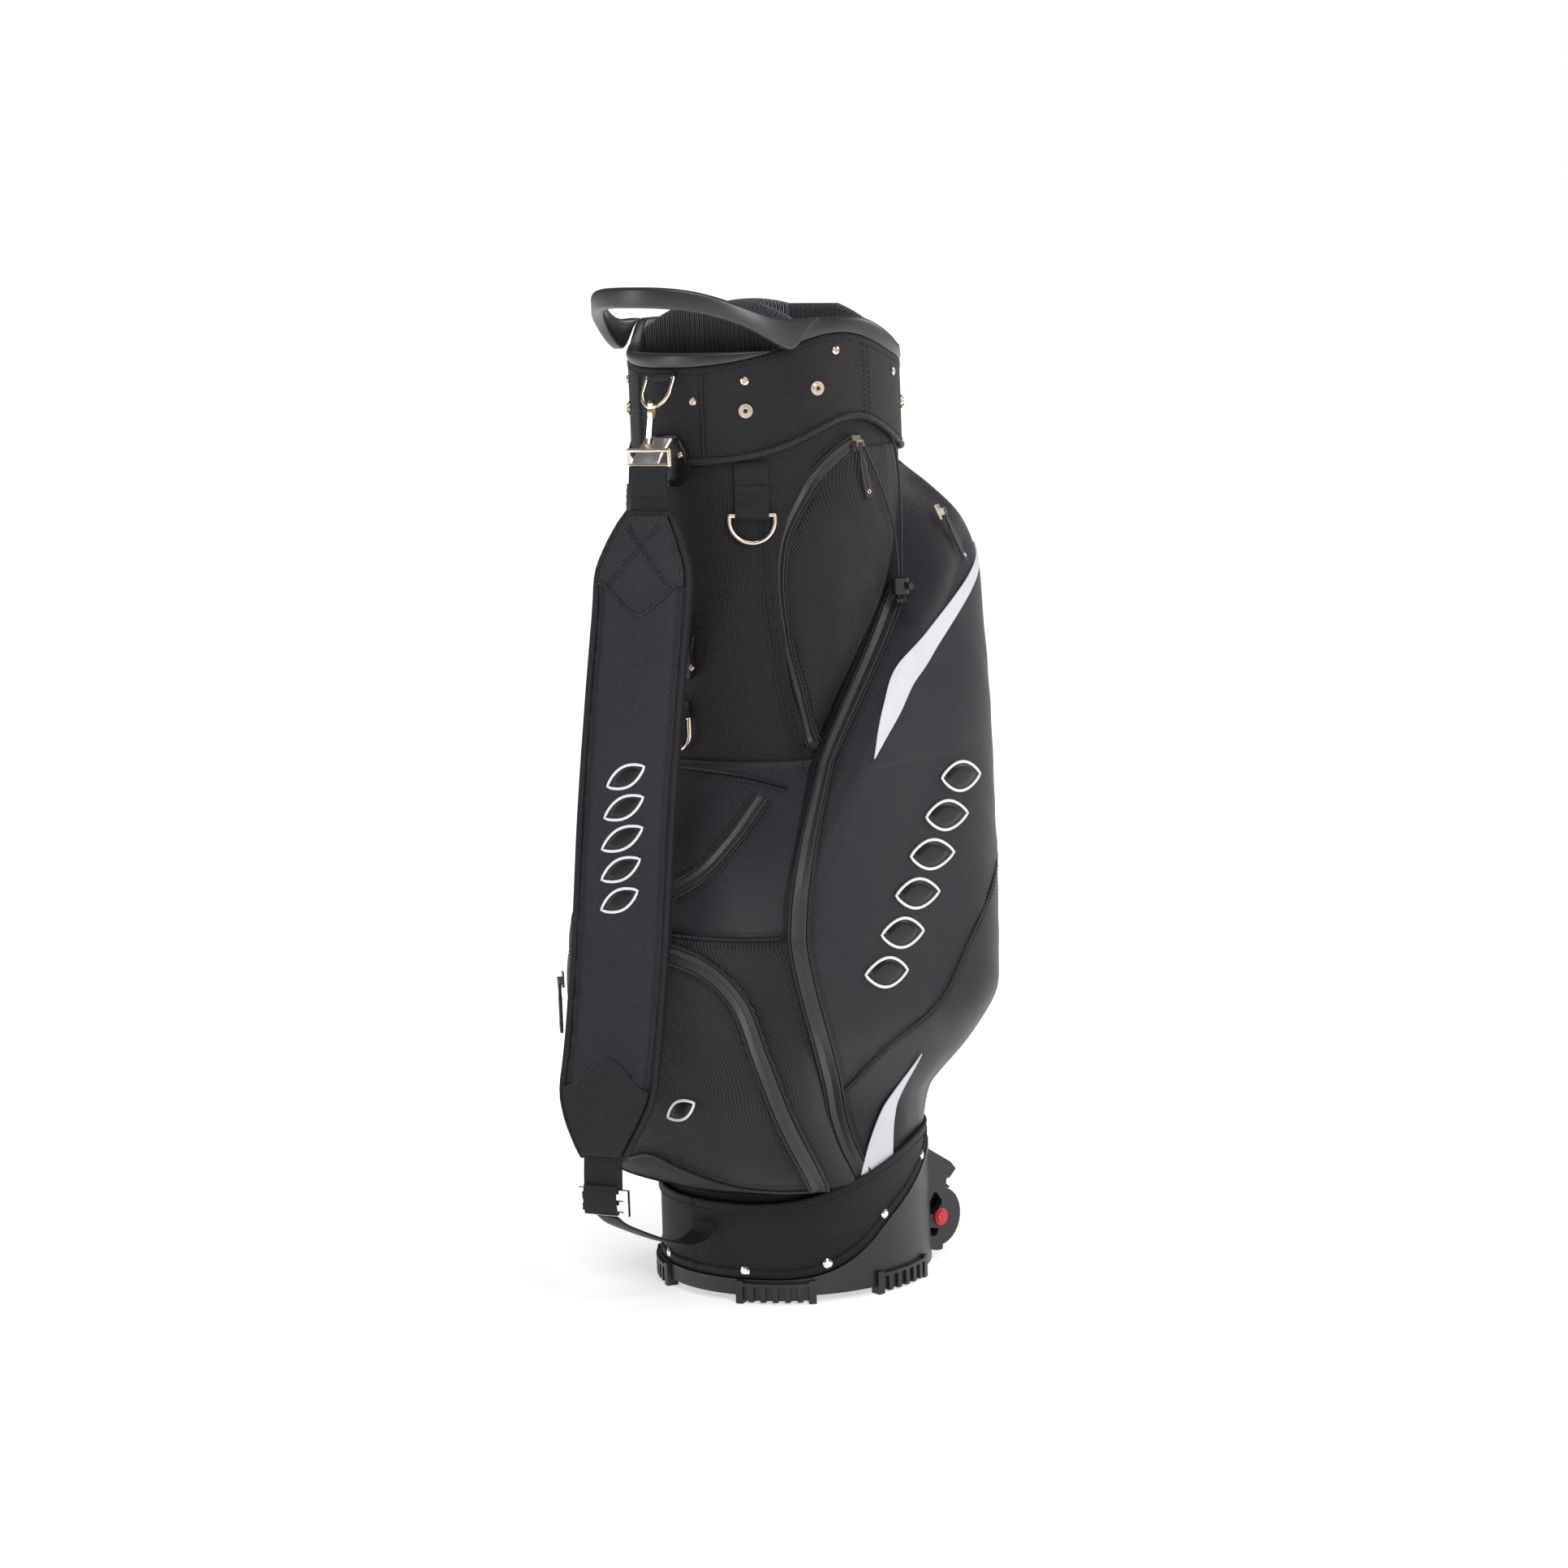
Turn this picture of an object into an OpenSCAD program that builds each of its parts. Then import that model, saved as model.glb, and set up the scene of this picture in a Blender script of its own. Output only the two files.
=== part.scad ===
// Wheeled golf cart bag: moulded base with two small wheels, fabric tube and
// pockets, moulded collar with a lift loop, club dividers and a hanging strap.
// +Z is up, the strap side faces -Y, the wheels are on the +Y side.

/* [Tube] */
// Outer radius of the fabric tube
tube_r = 117.5; // [110:0.5:125]
// Thickness of the fabric tube with its lining
tube_wall = 3; // [2:0.5:4]
// Height of the tube's top edge
tube_top = 834; // [800:1:860]
// Height of the tube's bottom edge
tube_bottom = 14; // [14:1:18]

/* [Base] */
// Outer radius of the moulded base at its bottom band
base_r = 125.5; // [125:0.1:127]
// Height of the base's underside above the ground
base_clear = 7; // [5:1:8]
// Thickness of the base's floor
floor_t = 5; // [4:1:6]
// Height that each moulded foot reaches up the base
foot_h = 21; // [18:1:21]

/* [Wheels] */
// Radius of each tyre
tyre_r = 26; // [24:0.5:27]
// Width of each tyre
tyre_w = 18; // [14:1:19]
// Radius of each wheel's plastic hub
hub_r = 18; // [16:0.5:20]
// Radius of the axle pins
axle_r = 4; // [3:0.5:5]
// Distance from the middle of the bag to the middle of a tyre
track_half = 77.5; // [77:0.5:78]
// Distance of the axle behind the tube's centre
axle_y = 95; // [93:1:97]
// Height of the axle above the ground
axle_z = 43; // [42:1:46]

/* [Body envelope] */
// Half width of the pockets
side_reach = 165; // [155:1:168]
// Depth of the front pocket from the tube's centre
front_reach = 184; // [170:1:185]
// Depth of the side pockets behind the tube's centre
back_reach = 164; // [150:1:166]

/* [Collar] */
// Outer radius of the collar's lip
collar_r = 123; // [122:0.5:125]
// Height of the rim at the front
rim_front = 850; // [848:1:856]
// Height of the raised shoulders over the front rim
shoulder_rise = 27; // [20:1:30]
// Height of the lift loop's band
loop_h = 18; // [16:1:24]
// Thickness of the lift loop's band
loop_t = 13; // [10:1:15]

/* [Strap] */
// Width of the shoulder pad
pad_w = 94; // [80:1:96]
// Thickness of the shoulder pad
pad_t = 11; // [8:1:12]
// Width of the strap's webbing
web_w = 38; // [32:1:40]

/* [Hidden] */

$fn = 96;
tiny = 0.3;          // gap between pieces that lie against each other
run_gap = 0.05;      // radial clearance of a running fit
y_shift = 49.8;        // moves the model so that its box is centred on the origin
big = 400;

black = "#17181a";
cloth = "#1c1c20";
moulded = "#2a2c2e";
metal = "#d8c9a8";
silver = "#c9cbcd";

module place() {
    translate([0, y_shift, 0]) children();
}

// Children modelled facing -Y are turned to the angle a, from -Y towards +X
module at_angle(a) {
    rotate([0, 0, a]) children();
}

module both_sides() {
    children();
    mirror([1, 0, 0]) children();
}

module ring(r_out, r_in, z0, z1) {
    translate([0, 0, z0]) difference() {
        cylinder(r = r_out, h = z1 - z0);
        translate([0, 0, -1]) cylinder(r = r_in, h = z1 - z0 + 2);
    }
}

// A block whose side view, in Y and Z, lies between two curves
module side_profile(low, high, y0 = -260, y1 = 180, step = 10) {
    ys = [for (y = [y0:step:y1]) y];
    down = [for (i = [len(ys) - 1:-1:0]) ys[i]];
    rotate([90, 0, 90]) translate([0, 0, -big / 2]) linear_extrude(big)
        polygon(concat([for (y = ys) [y, low(y)]], [for (y = down) [y, high(y)]]));
}

// ---- edges that wrap round the bag, as heights over Y ----

function ease(t) = let (c = min(1, max(0, t))) c * c * (3 - 2 * c);
function cuff_low(y) =
    y < -95 ? 22 :
    y < -6 ? 22 + 0.0054 * pow(y + 95, 2) :
    min(118, 64.8 + 0.62 * (y + 6));
function cuff_high(y) = 91 + 46 * ease((y + 115) / 190);
function band_low(y) = 752 + 37 * exp(-pow((y + 10) / 64, 2));
function band_high(y) = 832 + 31 * exp(-pow((y + 24) / 70, 2));
function rim_high(y) = rim_front + shoulder_rise * ease((y + 78) / 32) - 32 * ease((y + 10) / 110);

// ---- the outer envelope of the pockets ----

function super_r(a, b, t, n) = 1 / pow(pow(abs(sin(t)) / a, n) + pow(abs(cos(t)) / b, n), 1 / n);
function low_r(t) = cos(t) > 0 ? super_r(side_reach, front_reach, t, 3)
                               : super_r(side_reach, back_reach, t, 4);
front_fill = [[108, 0.55], [130, 0.8], [170, 0.95], [220, 1], [320, 1], [345, 0.93],
              [400, 0.72], [440, 0.45], [488, 0.06]];
side_fill = [[140, 0.04], [160, 0.07], [175, 0.16], [215, 0.62], [255, 0.95], [300, 1], [400, 1],
             [540, 0.97], [600, 0.93], [655, 0.86], [692, 0.69], [720, 0.36], [742, 0.05]];
function front_r(t, z) = tube_r + (low_r(t) - tube_r) * lookup(z, front_fill);
function side_r(t, z) = tube_r + (low_r(t) - tube_r) * lookup(z, side_fill);

// Angle of the side pocket's front edge, and of the valuables pocket's
side_edge = [[110, 72], [150, 63], [230, 53], [315, 47], [364, 46], [428, 51], [489, 60],
             [541, 72], [594, 87], [639, 101], [690, 113], [730, 120]];
valuables_edge = [[500, 60.5], [520, 59], [560, 54], [598, 52], [648, 50], [690, 53], [731, 64],
                  [762, 82]];
valuables_back = [[500, 61.5], [541, 71], [594, 86], [639, 100], [690, 110], [762, 110]];

// A pocket as one closed solid: a patch of the envelope over the tube
module pocket_solid(z0, z1, lo, hi, r, across = 14, up = 18) {
    skin = 3;
    in_r = tube_r + 2 * tiny;
    function z_at(i) = z0 + (z1 - z0) * i / up;
    function t_at(i, j) = lo(z_at(i)) + (hi(z_at(i)) - lo(z_at(i))) * j / across;
    function point(i, j, rad) = [rad * sin(t_at(i, j)), -rad * cos(t_at(i, j)), z_at(i)];
    n = across + 1;
    outer = [for (i = [0:up]) for (j = [0:across])
        point(i, j, max(in_r + skin, r(t_at(i, j), z_at(i))))];
    inner = [for (i = [0:up]) for (j = [0:across]) point(i, j, in_r)];
    k = len(outer);
    quads_out = [for (i = [0:up - 1]) for (j = [0:across - 1])
        [i * n + j, (i + 1) * n + j, (i + 1) * n + j + 1, i * n + j + 1]];
    quads_in = [for (q = quads_out) [q[3] + k, q[2] + k, q[1] + k, q[0] + k]];
    sides = [for (i = [0:up - 1]) for (s = [0, 1]) let (
        a = i * n + s * across, b = (i + 1) * n + s * across)
        s == 0 ? [a, a + k, b + k, b] : [a, b, b + k, a + k]];
    ends = [for (j = [0:across - 1]) for (s = [0, 1]) let (
        a = s * up * n + j, b = a + 1)
        s == 0 ? [a, b, b + k, a + k] : [b, a, a + k, b + k]];
    polyhedron(concat(outer, inner), concat(quads_out, quads_in, sides, ends), convexity = 6);
}

// A flat band swept along hand-placed stations: [[x, y, z], width, thickness]
function band_dir(p, i) = let (
    a = p[max(0, i - 1)][0], b = p[min(len(p) - 1, i + 1)][0], d = b - a) d / norm(d);
module flat_band(stations, turn) {
    wide = [cos(turn), sin(turn), 0];
    corners = [for (i = [0:len(stations) - 1]) let (
        s = stations[i],
        n = cross(wide, band_dir(stations, i)),
        off = n / norm(n) * s[2] / 2,
        side = wide * s[1] / 2)
        each [s[0] - side - off, s[0] + side - off, s[0] + side + off, s[0] - side + off]];
    last = len(stations) - 1;
    walls = [for (i = [0:last - 1]) for (c = [0:3])
        [i * 4 + c, i * 4 + (c + 1) % 4, (i + 1) * 4 + (c + 1) % 4, (i + 1) * 4 + c]];
    caps = [[3, 2, 1, 0], [for (c = [0:3]) last * 4 + c]];
    polyhedron(corners, concat(walls, caps), convexity = 6);
}

// ---- base ----

module wheel_outline(r) {
    translate([axle_y, axle_z]) circle(r = r);
}

// Extrudes a Y-Z outline along X, from x0 to x1
module along_x(x0, x1) {
    rotate([90, 0, 90]) translate([0, 0, x0]) linear_extrude(x1 - x0) children();
}

housing_in = 61;
housing_out = 95;
cheek_in = track_half + tyre_w / 2 + 2;
cavity_in = track_half - tyre_w / 2 - 2;
cavity_r = tyre_r + 2.5;

module housing_outline() {
    wheel_outline(cavity_r + 3);
    polygon([[38, 12], [60, 12], [axle_y, axle_z - 26], [axle_y + 8, axle_z + 29],
             [axle_y + 23, 84], [axle_y + 16, 92], [82, 110], [64, 104], [50, 88]]);
}

// The room that a wheel turns in, open below and behind
module wheel_cavity() {
    along_x(cavity_in, cheek_in) union() {
        wheel_outline(cavity_r);
        polygon([[axle_y - 10, -5], [axle_y + 60, -5], [axle_y + 60, axle_z + 22],
                 [axle_y, axle_z + 22], [axle_y - 24, axle_z - 14]]);
    }
}

module wheel_housing() {
    difference() {
        along_x(housing_in, housing_out) housing_outline();
        wheel_cavity();
        along_x(cheek_in - 1, housing_out + 1) difference() {
            polygon([[axle_y, -5], [axle_y + 60, -5], [axle_y + 60, axle_z + 34],
                     [axle_y + 10, axle_z + 34]]);
            wheel_outline(tyre_r + 1);
        }
        cheek_windows();
        difference() {
            translate([0, 0, -1]) cylinder(r = tube_r + tiny, h = 200);
            well_box(0);
        }
        translate([housing_in - 1, axle_y, axle_z]) rotate([0, 90, 0])
            cylinder(r = axle_r, h = housing_out - housing_in + 2);
    }
}
module wheel_housing_near() color(moulded) wheel_housing();
module wheel_housing_far() color(moulded) mirror([1, 0, 0]) wheel_housing();

// The corner that the wheel well takes out of the tube, grown by gap
module well_box(gap) {
    translate([housing_in - 1 - gap, axle_y - cavity_r - 3.5 - gap, -2])
        cube([80, 90, axle_z + cavity_r + 6 + gap]);
}

// Two openings through the outer cheek, above and below the spoke to the hub
module cheek_windows() {
    along_x(cheek_in - 1, housing_out + 1) {
        polygon([[axle_y - 20, axle_z + 5], [axle_y - 9, axle_z + 4], [axle_y + 2, axle_z + 11],
                 [axle_y + 3, axle_z + 15], [axle_y - 4, axle_z + 24], [axle_y - 8, axle_z + 24]]);
        polygon([[axle_y - 17, axle_z - 7], [axle_y - 2, axle_z - 11], [axle_y - 6, axle_z - 17],
                 [axle_y - 14, axle_z - 16]]);
    }
}

module foot() {
    half = 15;
    prong = 3.4;
    intersection() {
        ring(base_r + 4, tube_r + 1.2, 0, foot_h);
        union() {
            for (s = [-1, 1]) at_angle(s * half) translate([-prong, -big, 0])
                cube([2 * prong, big, foot_h]);
            for (i = [-2:2]) at_angle(i * 5) translate([-2.6, -big, 2]) cube([5.2, big, foot_h - 6]);
            translate([-34, -big, foot_h - 5]) cube([68, big, 3]);
            intersection() {
                ring(base_r + 1.5, tube_r, 3, foot_h - 1);
                translate([-32, -big, 0]) cube([64, big, foot_h]);
            }
        }
    }
}

foot_angles = [-97, -37, 37, 97];

module base_tub() color(moulded) difference() {
    union() {
        intersection() {
            ring(tube_r + 3.2, tube_r + tiny, base_clear + 2, 170);
            side_profile(function (y) -5, function (y) cuff_low(y) + 16);
        }
        intersection() {
            ring(base_r, tube_r + 0.8, base_clear, 170);
            side_profile(function (y) -5, function (y) cuff_low(y) - tiny);
        }
        translate([0, 0, base_clear + 1]) cylinder(r = tube_r + 2, h = floor_t - 1);
        for (a = foot_angles) at_angle(a) foot();
    }
    both_sides() {
        along_x(housing_in - tiny, housing_out + tiny) housing_outline();
        wheel_cavity();
    }
}

module floor_pad() color(black) difference() {
    translate([0, 0, base_clear + floor_t + tiny]) cylinder(r = tube_r - tube_wall - 1, h = 8);
    both_sides() well_box(1);
}

module axle_pins() color(silver) both_sides()
    translate([housing_in + 0.5, axle_y, axle_z]) rotate([0, 90, 0])
        cylinder(r = axle_r, h = housing_out - housing_in - 0.5);

module hub_caps() color("#d2232e") both_sides()
    translate([housing_out, axle_y, axle_z]) rotate([0, 90, 0]) {
        cylinder(r = 8, h = 2);
        translate([0, 0, 2]) cylinder(r = 6, h = 1.2);
    }

module wheel_core() {
    translate([track_half - tyre_w / 2 + 1, axle_y, axle_z]) rotate([0, 90, 0]) difference() {
        cylinder(r = hub_r, h = tyre_w - 2);
        translate([0, 0, -1]) cylinder(r = axle_r + run_gap, h = tyre_w);
        for (side = [-1, tyre_w - 5]) translate([0, 0, side]) difference() {
            cylinder(r = hub_r - 3, h = 4);
            translate([0, 0, -1]) cylinder(r = axle_r + 4, h = 6);
        }
    }
}

module tyre_body() {
    edge = 4;
    translate([track_half - tyre_w / 2, axle_y, axle_z]) rotate([0, 90, 0]) rotate_extrude()
        polygon([[hub_r, 0.8], [tyre_r - edge, 0], [tyre_r - 1, edge * 0.6], [tyre_r, tyre_w / 2],
                 [tyre_r - 1, tyre_w - edge * 0.6], [tyre_r - edge, tyre_w], [hub_r, tyre_w - 0.8]]);
}

module wheel_near() color(black) wheel_core();
module wheel_far() color(black) mirror([1, 0, 0]) wheel_core();
module tyre_near() color("#3a3a3a") tyre_body();
module tyre_far() color("#3a3a3a") mirror([1, 0, 0]) tyre_body();

// ---- tube, cuff and collar ----

// One half of the tube, the two halves being sewn together at the sides
module tube_half(back) {
    difference() {
        ring(tube_r, tube_r - tube_wall, tube_bottom, tube_top);
        translate([-big, back ? -2 * big + tiny / 2 : -tiny / 2, -1]) cube([2 * big, 2 * big, 1000]);
        both_sides() well_box(0.5);
    }
}
module tube_front() color(cloth) tube_half(false);
module tube_back() color(cloth) tube_half(true);

stay_angles = [-150, -30, 30, 150];
module stay_rods() color(silver) for (a = stay_angles) at_angle(a)
    translate([0, -(tube_r - tube_wall - 3.2), 90]) cylinder(r = 3, h = 690, $fn = 24);

module base_cuff() color(cloth) intersection() {
    ring(tube_r + 5.6, tube_r + 3.4, 10, 190);
    side_profile(function (y) cuff_low(y), function (y) cuff_high(y));
}

module rivet(r, h) {
    rotate([90, 0, 0]) {
        cylinder(r = r, h = h, $fn = 24);
        translate([0, 0, h]) cylinder(r1 = r, r2 = r * 0.6, h = h, $fn = 24);
    }
}

base_rivet_angles = [-118, -87, -59, -24, 24, 59, 87, 118];
module base_rivets() color(silver) for (a = base_rivet_angles) at_angle(a)
    translate([0, -(tube_r + 5.6), cuff_low(-121 * cos(a)) + 7]) rivet(4.5, 1);

module collar_band() color(cloth) intersection() {
    ring(tube_r + 4.3, tube_r + tiny, 740, 880);
    side_profile(function (y) band_low(y), function (y) band_high(y) - tiny);
}

// Angle and height of each small rivet and each snap stud on the collar
collar_rivet_spots = [[15, 808], [38, 825], [77, 848], [115, 825], [-15, 808], [-38, 825],
                      [-77, 848], [-115, 825], [160, 800], [-160, 800]];
collar_snap_spots = [[38, 799], [68, 816], [132, 796], [-38, 799], [-68, 816], [-132, 796]];
module collar_rivets() color(metal) for (s = collar_rivet_spots) at_angle(s[0])
    translate([0, -(tube_r + 4.3), s[1]]) rivet(3.6, 1);
module collar_snaps() color(metal) for (s = collar_snap_spots) at_angle(s[0])
    translate([0, -(tube_r + 4.3), s[1]]) rotate([90, 0, 0]) difference() {
        union() {
            cylinder(r = 6.2, h = 1.2, $fn = 32);
            cylinder(r = 4.2, h = 2.6, $fn = 32);
        }
        translate([0, 0, 1.4]) cylinder(r = 2, h = 3, $fn = 24);
    }

module collar_rim() color(moulded) union() {
    intersection() {
        ring(tube_r - tube_wall - tiny, tube_r - tube_wall - 3, 800, 900);
        side_profile(function (y) 780, function (y) rim_high(y));
    }
    intersection() {
        ring(tube_r, tube_r - tube_wall - 1, tube_top + tiny, 900);
        side_profile(function (y) 780, function (y) rim_high(y));
    }
    intersection() {
        ring(collar_r, tube_r - 1, tube_top - 20, 900);
        side_profile(function (y) max(tube_top + tiny, band_high(y)), function (y) rim_high(y));
    }
}

loop_y = -30;       // where the loop's arms meet the shoulders
loop_reach = 135;   // how far the loop reaches forward of there
function loop_high(y) = rim_front + shoulder_rise + 32 * ease((-70 - y) / 100);
function loop_low(y) = loop_high(y) - loop_h - 12 * ease((y + 120) / 60);
function half_oval(a, b, n = 36) = [for (i = [0:n]) let (t = 180 + 180 * i / n)
    [a * cos(t), loop_y + b * sin(t)]];

module lift_loop() color(moulded) intersection() {
    linear_extrude(960) difference() {
        polygon(half_oval(collar_r, loop_reach));
        polygon(concat([[-(collar_r - loop_t), loop_y + 1]],
                       half_oval(collar_r - loop_t, loop_reach - loop_t),
                       [[collar_r - loop_t, loop_y + 1]]));
    }
    side_profile(function (y) max(rim_high(y) + tiny, loop_low(y)),
                 function (y) loop_high(y), y1 = -48, step = 6);
}

module rear_grip() color(moulded) at_angle(180) {
    translate([-35, -collar_r - 16, 822]) cube([70, 6, 22]);
    for (x = [-35, 27]) translate([x, -collar_r - 11, 822]) cube([8, 11 - tiny, 22]);
}

// ---- club dividers ----

bar_t = 13;
front_bar_y = -48;
rear_bar_y = 34;
module divider_layout(t) {
    intersection() {
        circle(r = tube_r - tube_wall - 4);
        union() {
            translate([-big / 2, front_bar_y - t / 2]) square([big, t]);
            translate([-big / 2, rear_bar_y - t / 2]) square([big, t]);
            translate([-t / 2, front_bar_y]) square([t, 200]);
        }
    }
}
// The padding's top is arched both ways, highest over the middle of the mouth.
divider_low = 828;
arch_across = [896, 200];
arch_along = [893, 220];
arch_y = -20;
module divider_top() color(black) intersection() {
    translate([0, 0, divider_low]) linear_extrude(arch_across[0] - divider_low)
        divider_layout(bar_t);
    translate([0, 0, arch_across[0] - arch_across[1]]) rotate([90, 0, 0])
        cylinder(r = arch_across[1], h = big, center = true);
    translate([0, arch_y, arch_along[0] - arch_along[1]]) rotate([0, 90, 0])
        cylinder(r = arch_along[1], h = big, center = true);
}
module divider_sheets() color(cloth) translate([0, 0, 90]) linear_extrude(divider_low - 90 - tiny)
    divider_layout(2);

// ---- pockets ----

module ball_pocket() color(cloth) pocket_solid(112, 344, function (z) -45.5, function (z) 45.5,
    function (t, z) front_r(t, z), across = 20);
module small_pocket() color(cloth) pocket_solid(346, 488, function (z) -45, function (z) 45,
    function (t, z) front_r(t, z), across = 20, up = 12);
module side_pocket() pocket_solid(142, 740, function (z) lookup(z, side_edge) + 0.5,
    function (z) 150, function (t, z) side_r(t, z) * (t > 138 ? 1 - (t - 138) * 0.004 : 1),
    across = 18, up = 24);
function valuables_puff(t, z) = let (
    lo = lookup(z, valuables_edge), hi = lookup(z, valuables_back))
    tube_r + 5 + 24 * sin(180 * (z - 500) / 262) * sin(180 * (t - lo + 3) / (hi - lo + 6));
module valuables_pocket() pocket_solid(504, 760, function (z) lookup(z, valuables_edge),
    function (z) lookup(z, valuables_back), function (t, z) valuables_puff(t, z), up = 14);
module side_pocket_near() color(cloth) side_pocket();
module side_pocket_far() color(cloth) mirror([1, 0, 0]) side_pocket();
module valuables_pocket_near() color(cloth) valuables_pocket();
module valuables_pocket_far() color(cloth) mirror([1, 0, 0]) valuables_pocket();

// ---- zip sliders and pulls ----

// Angle, radius of the hinge pin, height and outward lean of each zip's pull
zips = [[84, 131, 766, 14], [117, 163.5, 700, 24], [-84, 131, 766, 14], [-117, 163.5, 700, 24],
        [-34, 209, 285, 0]];
pull_pin_r = 1;
pull_len = 50;

module at_zip(i) {
    at_angle(zips[i][0]) translate([0, -zips[i][1], zips[i][2]]) rotate([-zips[i][3], 0, 0])
        children();
}

module slider() {
    for (x = [-4.4, 2.6]) translate([x, -1.8, -3]) cube([1.8, 6, 6]);
    translate([-4.4, 2.2, -6]) cube([8.8, 2, 14]);
    translate([-4.3, 0, 0]) rotate([0, 90, 0]) cylinder(r = pull_pin_r, h = 8.6, $fn = 24);
}
module zip_sliders() color(metal) for (i = [0:len(zips) - 1]) at_zip(i) slider();

module pull() {
    difference() {
        union() {
            translate([-2.2, 0, 0]) rotate([0, 90, 0]) cylinder(r = 2.2, h = 4.4, $fn = 24);
            translate([-2.2, -1, -14]) cube([4.4, 2, 13]);
            translate([-3.8, -1.6, -pull_len]) cube([7.6, 3.2, 36.5]);
        }
        translate([-3, 0, 0]) rotate([0, 90, 0])
            cylinder(r = pull_pin_r + run_gap, h = 6, $fn = 24);
    }
}
module zip_pull_1() color(black) at_zip(0) pull();
module zip_pull_2() color(black) at_zip(1) pull();
module zip_pull_3() color(black) at_zip(2) pull();
module zip_pull_4() color(black) at_zip(3) pull();
module zip_pull_5() color(black) at_zip(4) pull();

// ---- rings on webbing tabs ----

ring_wire = 1.8;

// A D-shaped ring: straight bar along X at the origin, bow hanging down
module d_ring(half, drop) {
    rotate([0, 90, 0]) cylinder(r = ring_wire, h = 2 * half, center = true, $fn = 24);
    for (s = [-1, 1]) {
        translate([s * half, 0, 0]) sphere(r = ring_wire, $fn = 24);
        translate([s * half, 0, half - drop]) cylinder(r = ring_wire, h = drop - half, $fn = 24);
    }
    translate([0, 0, half - drop]) rotate([90, 0, 0]) intersection() {
        rotate_extrude($fn = 64) translate([half, 0]) circle(r = ring_wire, $fn = 24);
        translate([-big, -2 * big, -big]) cube([2 * big, 2 * big, 2 * big]);
    }
}

// The end of a webbing tab, rolled round a ring's bar and lying up the bag
module ring_tab(w, up) {
    difference() {
        union() {
            rotate([0, 90, 0]) cylinder(r = 3.4, h = w, center = true, $fn = 32);
            translate([-w / 2, 0.4, 0]) cube([w, 3, up]);
        }
        rotate([0, 90, 0]) cylinder(r = ring_wire + run_gap, h = w + 2, center = true, $fn = 32);
    }
}

// Angle, distance of the bar and its height, for each ring
strap_ring_at = [0, 126, 829];
mid_ring_at = [0, 122, 528];
towel_ring_at = [39, 122, 708];

module at_ring(s) {
    at_angle(s[0]) translate([0, -s[1], s[2]]) children();
}

module strap_tab() color(black) at_ring(strap_ring_at) difference() {
    ring_tab(28, 6);
    translate([-40, 1.5, -20]) cube([80, 10, 40]);
}
module strap_ring() color(metal) at_ring(strap_ring_at) rotate([-25, 0, 0])
    d_ring(17, 28);
module mid_ring_tab() color(black) at_ring(mid_ring_at) ring_tab(24, 16);
module mid_ring() color(metal) at_ring(mid_ring_at) d_ring(15, 28);
module towel_tab() color(black) at_ring(towel_ring_at) ring_tab(30, 46);
module towel_ring() color(metal) at_ring(towel_ring_at) d_ring(20, 24);

// ---- shoulder strap ----

strap_turn = 20;
hook_at = [1.4, -139.6, 800.5];  // middle of the hook's bow, round the ring's wire
hook_turn = 38;                  // direction in which the hook leans away from the bag
hook_lean = 36;
module at_hook() {
    translate(hook_at) at_angle(hook_turn) rotate([-hook_lean, 0, 0]) children();
}

module snap_hook() color(metal) at_hook() {
    rotate([0, 90, 0]) difference() {
        translate([0, 0, -2.2]) cylinder(r = 9.7, h = 4.4, $fn = 40);
        translate([0, 0, -3]) cylinder(r = 7.1, h = 6, $fn = 40);
        translate([-3, -10, -3]) cube([7, 5.5, 6]);
    }
    translate([-2.2, -4, -30]) cube([4.4, 8, 23]);
    translate([0, 0, -35.5]) cylinder(r = 3.6, h = 6.5, $fn = 32);
}
module hook_gate() color(metal) at_hook() {
    translate([-2, -8.4, -2.6]) cube([4, 2.2, 5]);
    translate([-2, -7.3, -2.6]) rotate([0, 90, 0]) cylinder(r = 1.1, h = 4, $fn = 24);
}

eye_at = [15.9, -158.1, 768.1];
module web_eye() color(metal) translate(eye_at) at_angle(strap_turn) {
    half = web_w / 2 + 1;
    for (z = [0, -13]) translate([0, 0, z]) rotate([0, 90, 0])
        cylinder(r = 1.8, h = 2 * half, center = true, $fn = 24);
    for (s = [-1, 1]) {
        translate([s * half, 0, -13]) cylinder(r = 1.8, h = 13, $fn = 24);
        for (z = [0, -13]) translate([s * half, 0, z]) sphere(r = 1.8, $fn = 24);
    }
}

module strap_web_top() color(black) flat_band([
    [[16, -158.4, 753], web_w - 2, 3], [[18, -161, 735], web_w - 2, 3],
    [[20, -164, 714.5], web_w - 2, 3]], strap_turn);

module shoulder_pad() color(cloth) flat_band([
    [[20, -164, 714], 48, 6], [[19, -168, 690], 74, pad_t], [[18, -172, 660], pad_w, pad_t],
    [[17, -175, 630], pad_w, pad_t], [[15, -185, 558], pad_w, pad_t],
    [[12, -198, 453], pad_w, pad_t], [[10, -209, 346], pad_w, pad_t],
    [[8, -220, 260], pad_w, pad_t], [[7, -228, 215], pad_w, pad_t],
    [[6, -234, 180], 74, pad_t], [[5, -236, 152], 48, 6]], strap_turn);

module strap_web_low() color(black) flat_band([
    [[5, -236.4, 151.5], web_w, 3], [[5, -237.5, 138], web_w, 3],
    [[5, -238, 124.5], web_w, 3]], strap_turn);

module strap_buckle() color(silver) translate([5, -238, 112]) at_angle(strap_turn)
    difference() {
        translate([-25, -2, -12]) cube([50, 4, 23.5]);
        for (z = [-8.5, 1.5]) translate([-20.5, -3, z]) cube([41, 6, 6.5]);
    }

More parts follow.
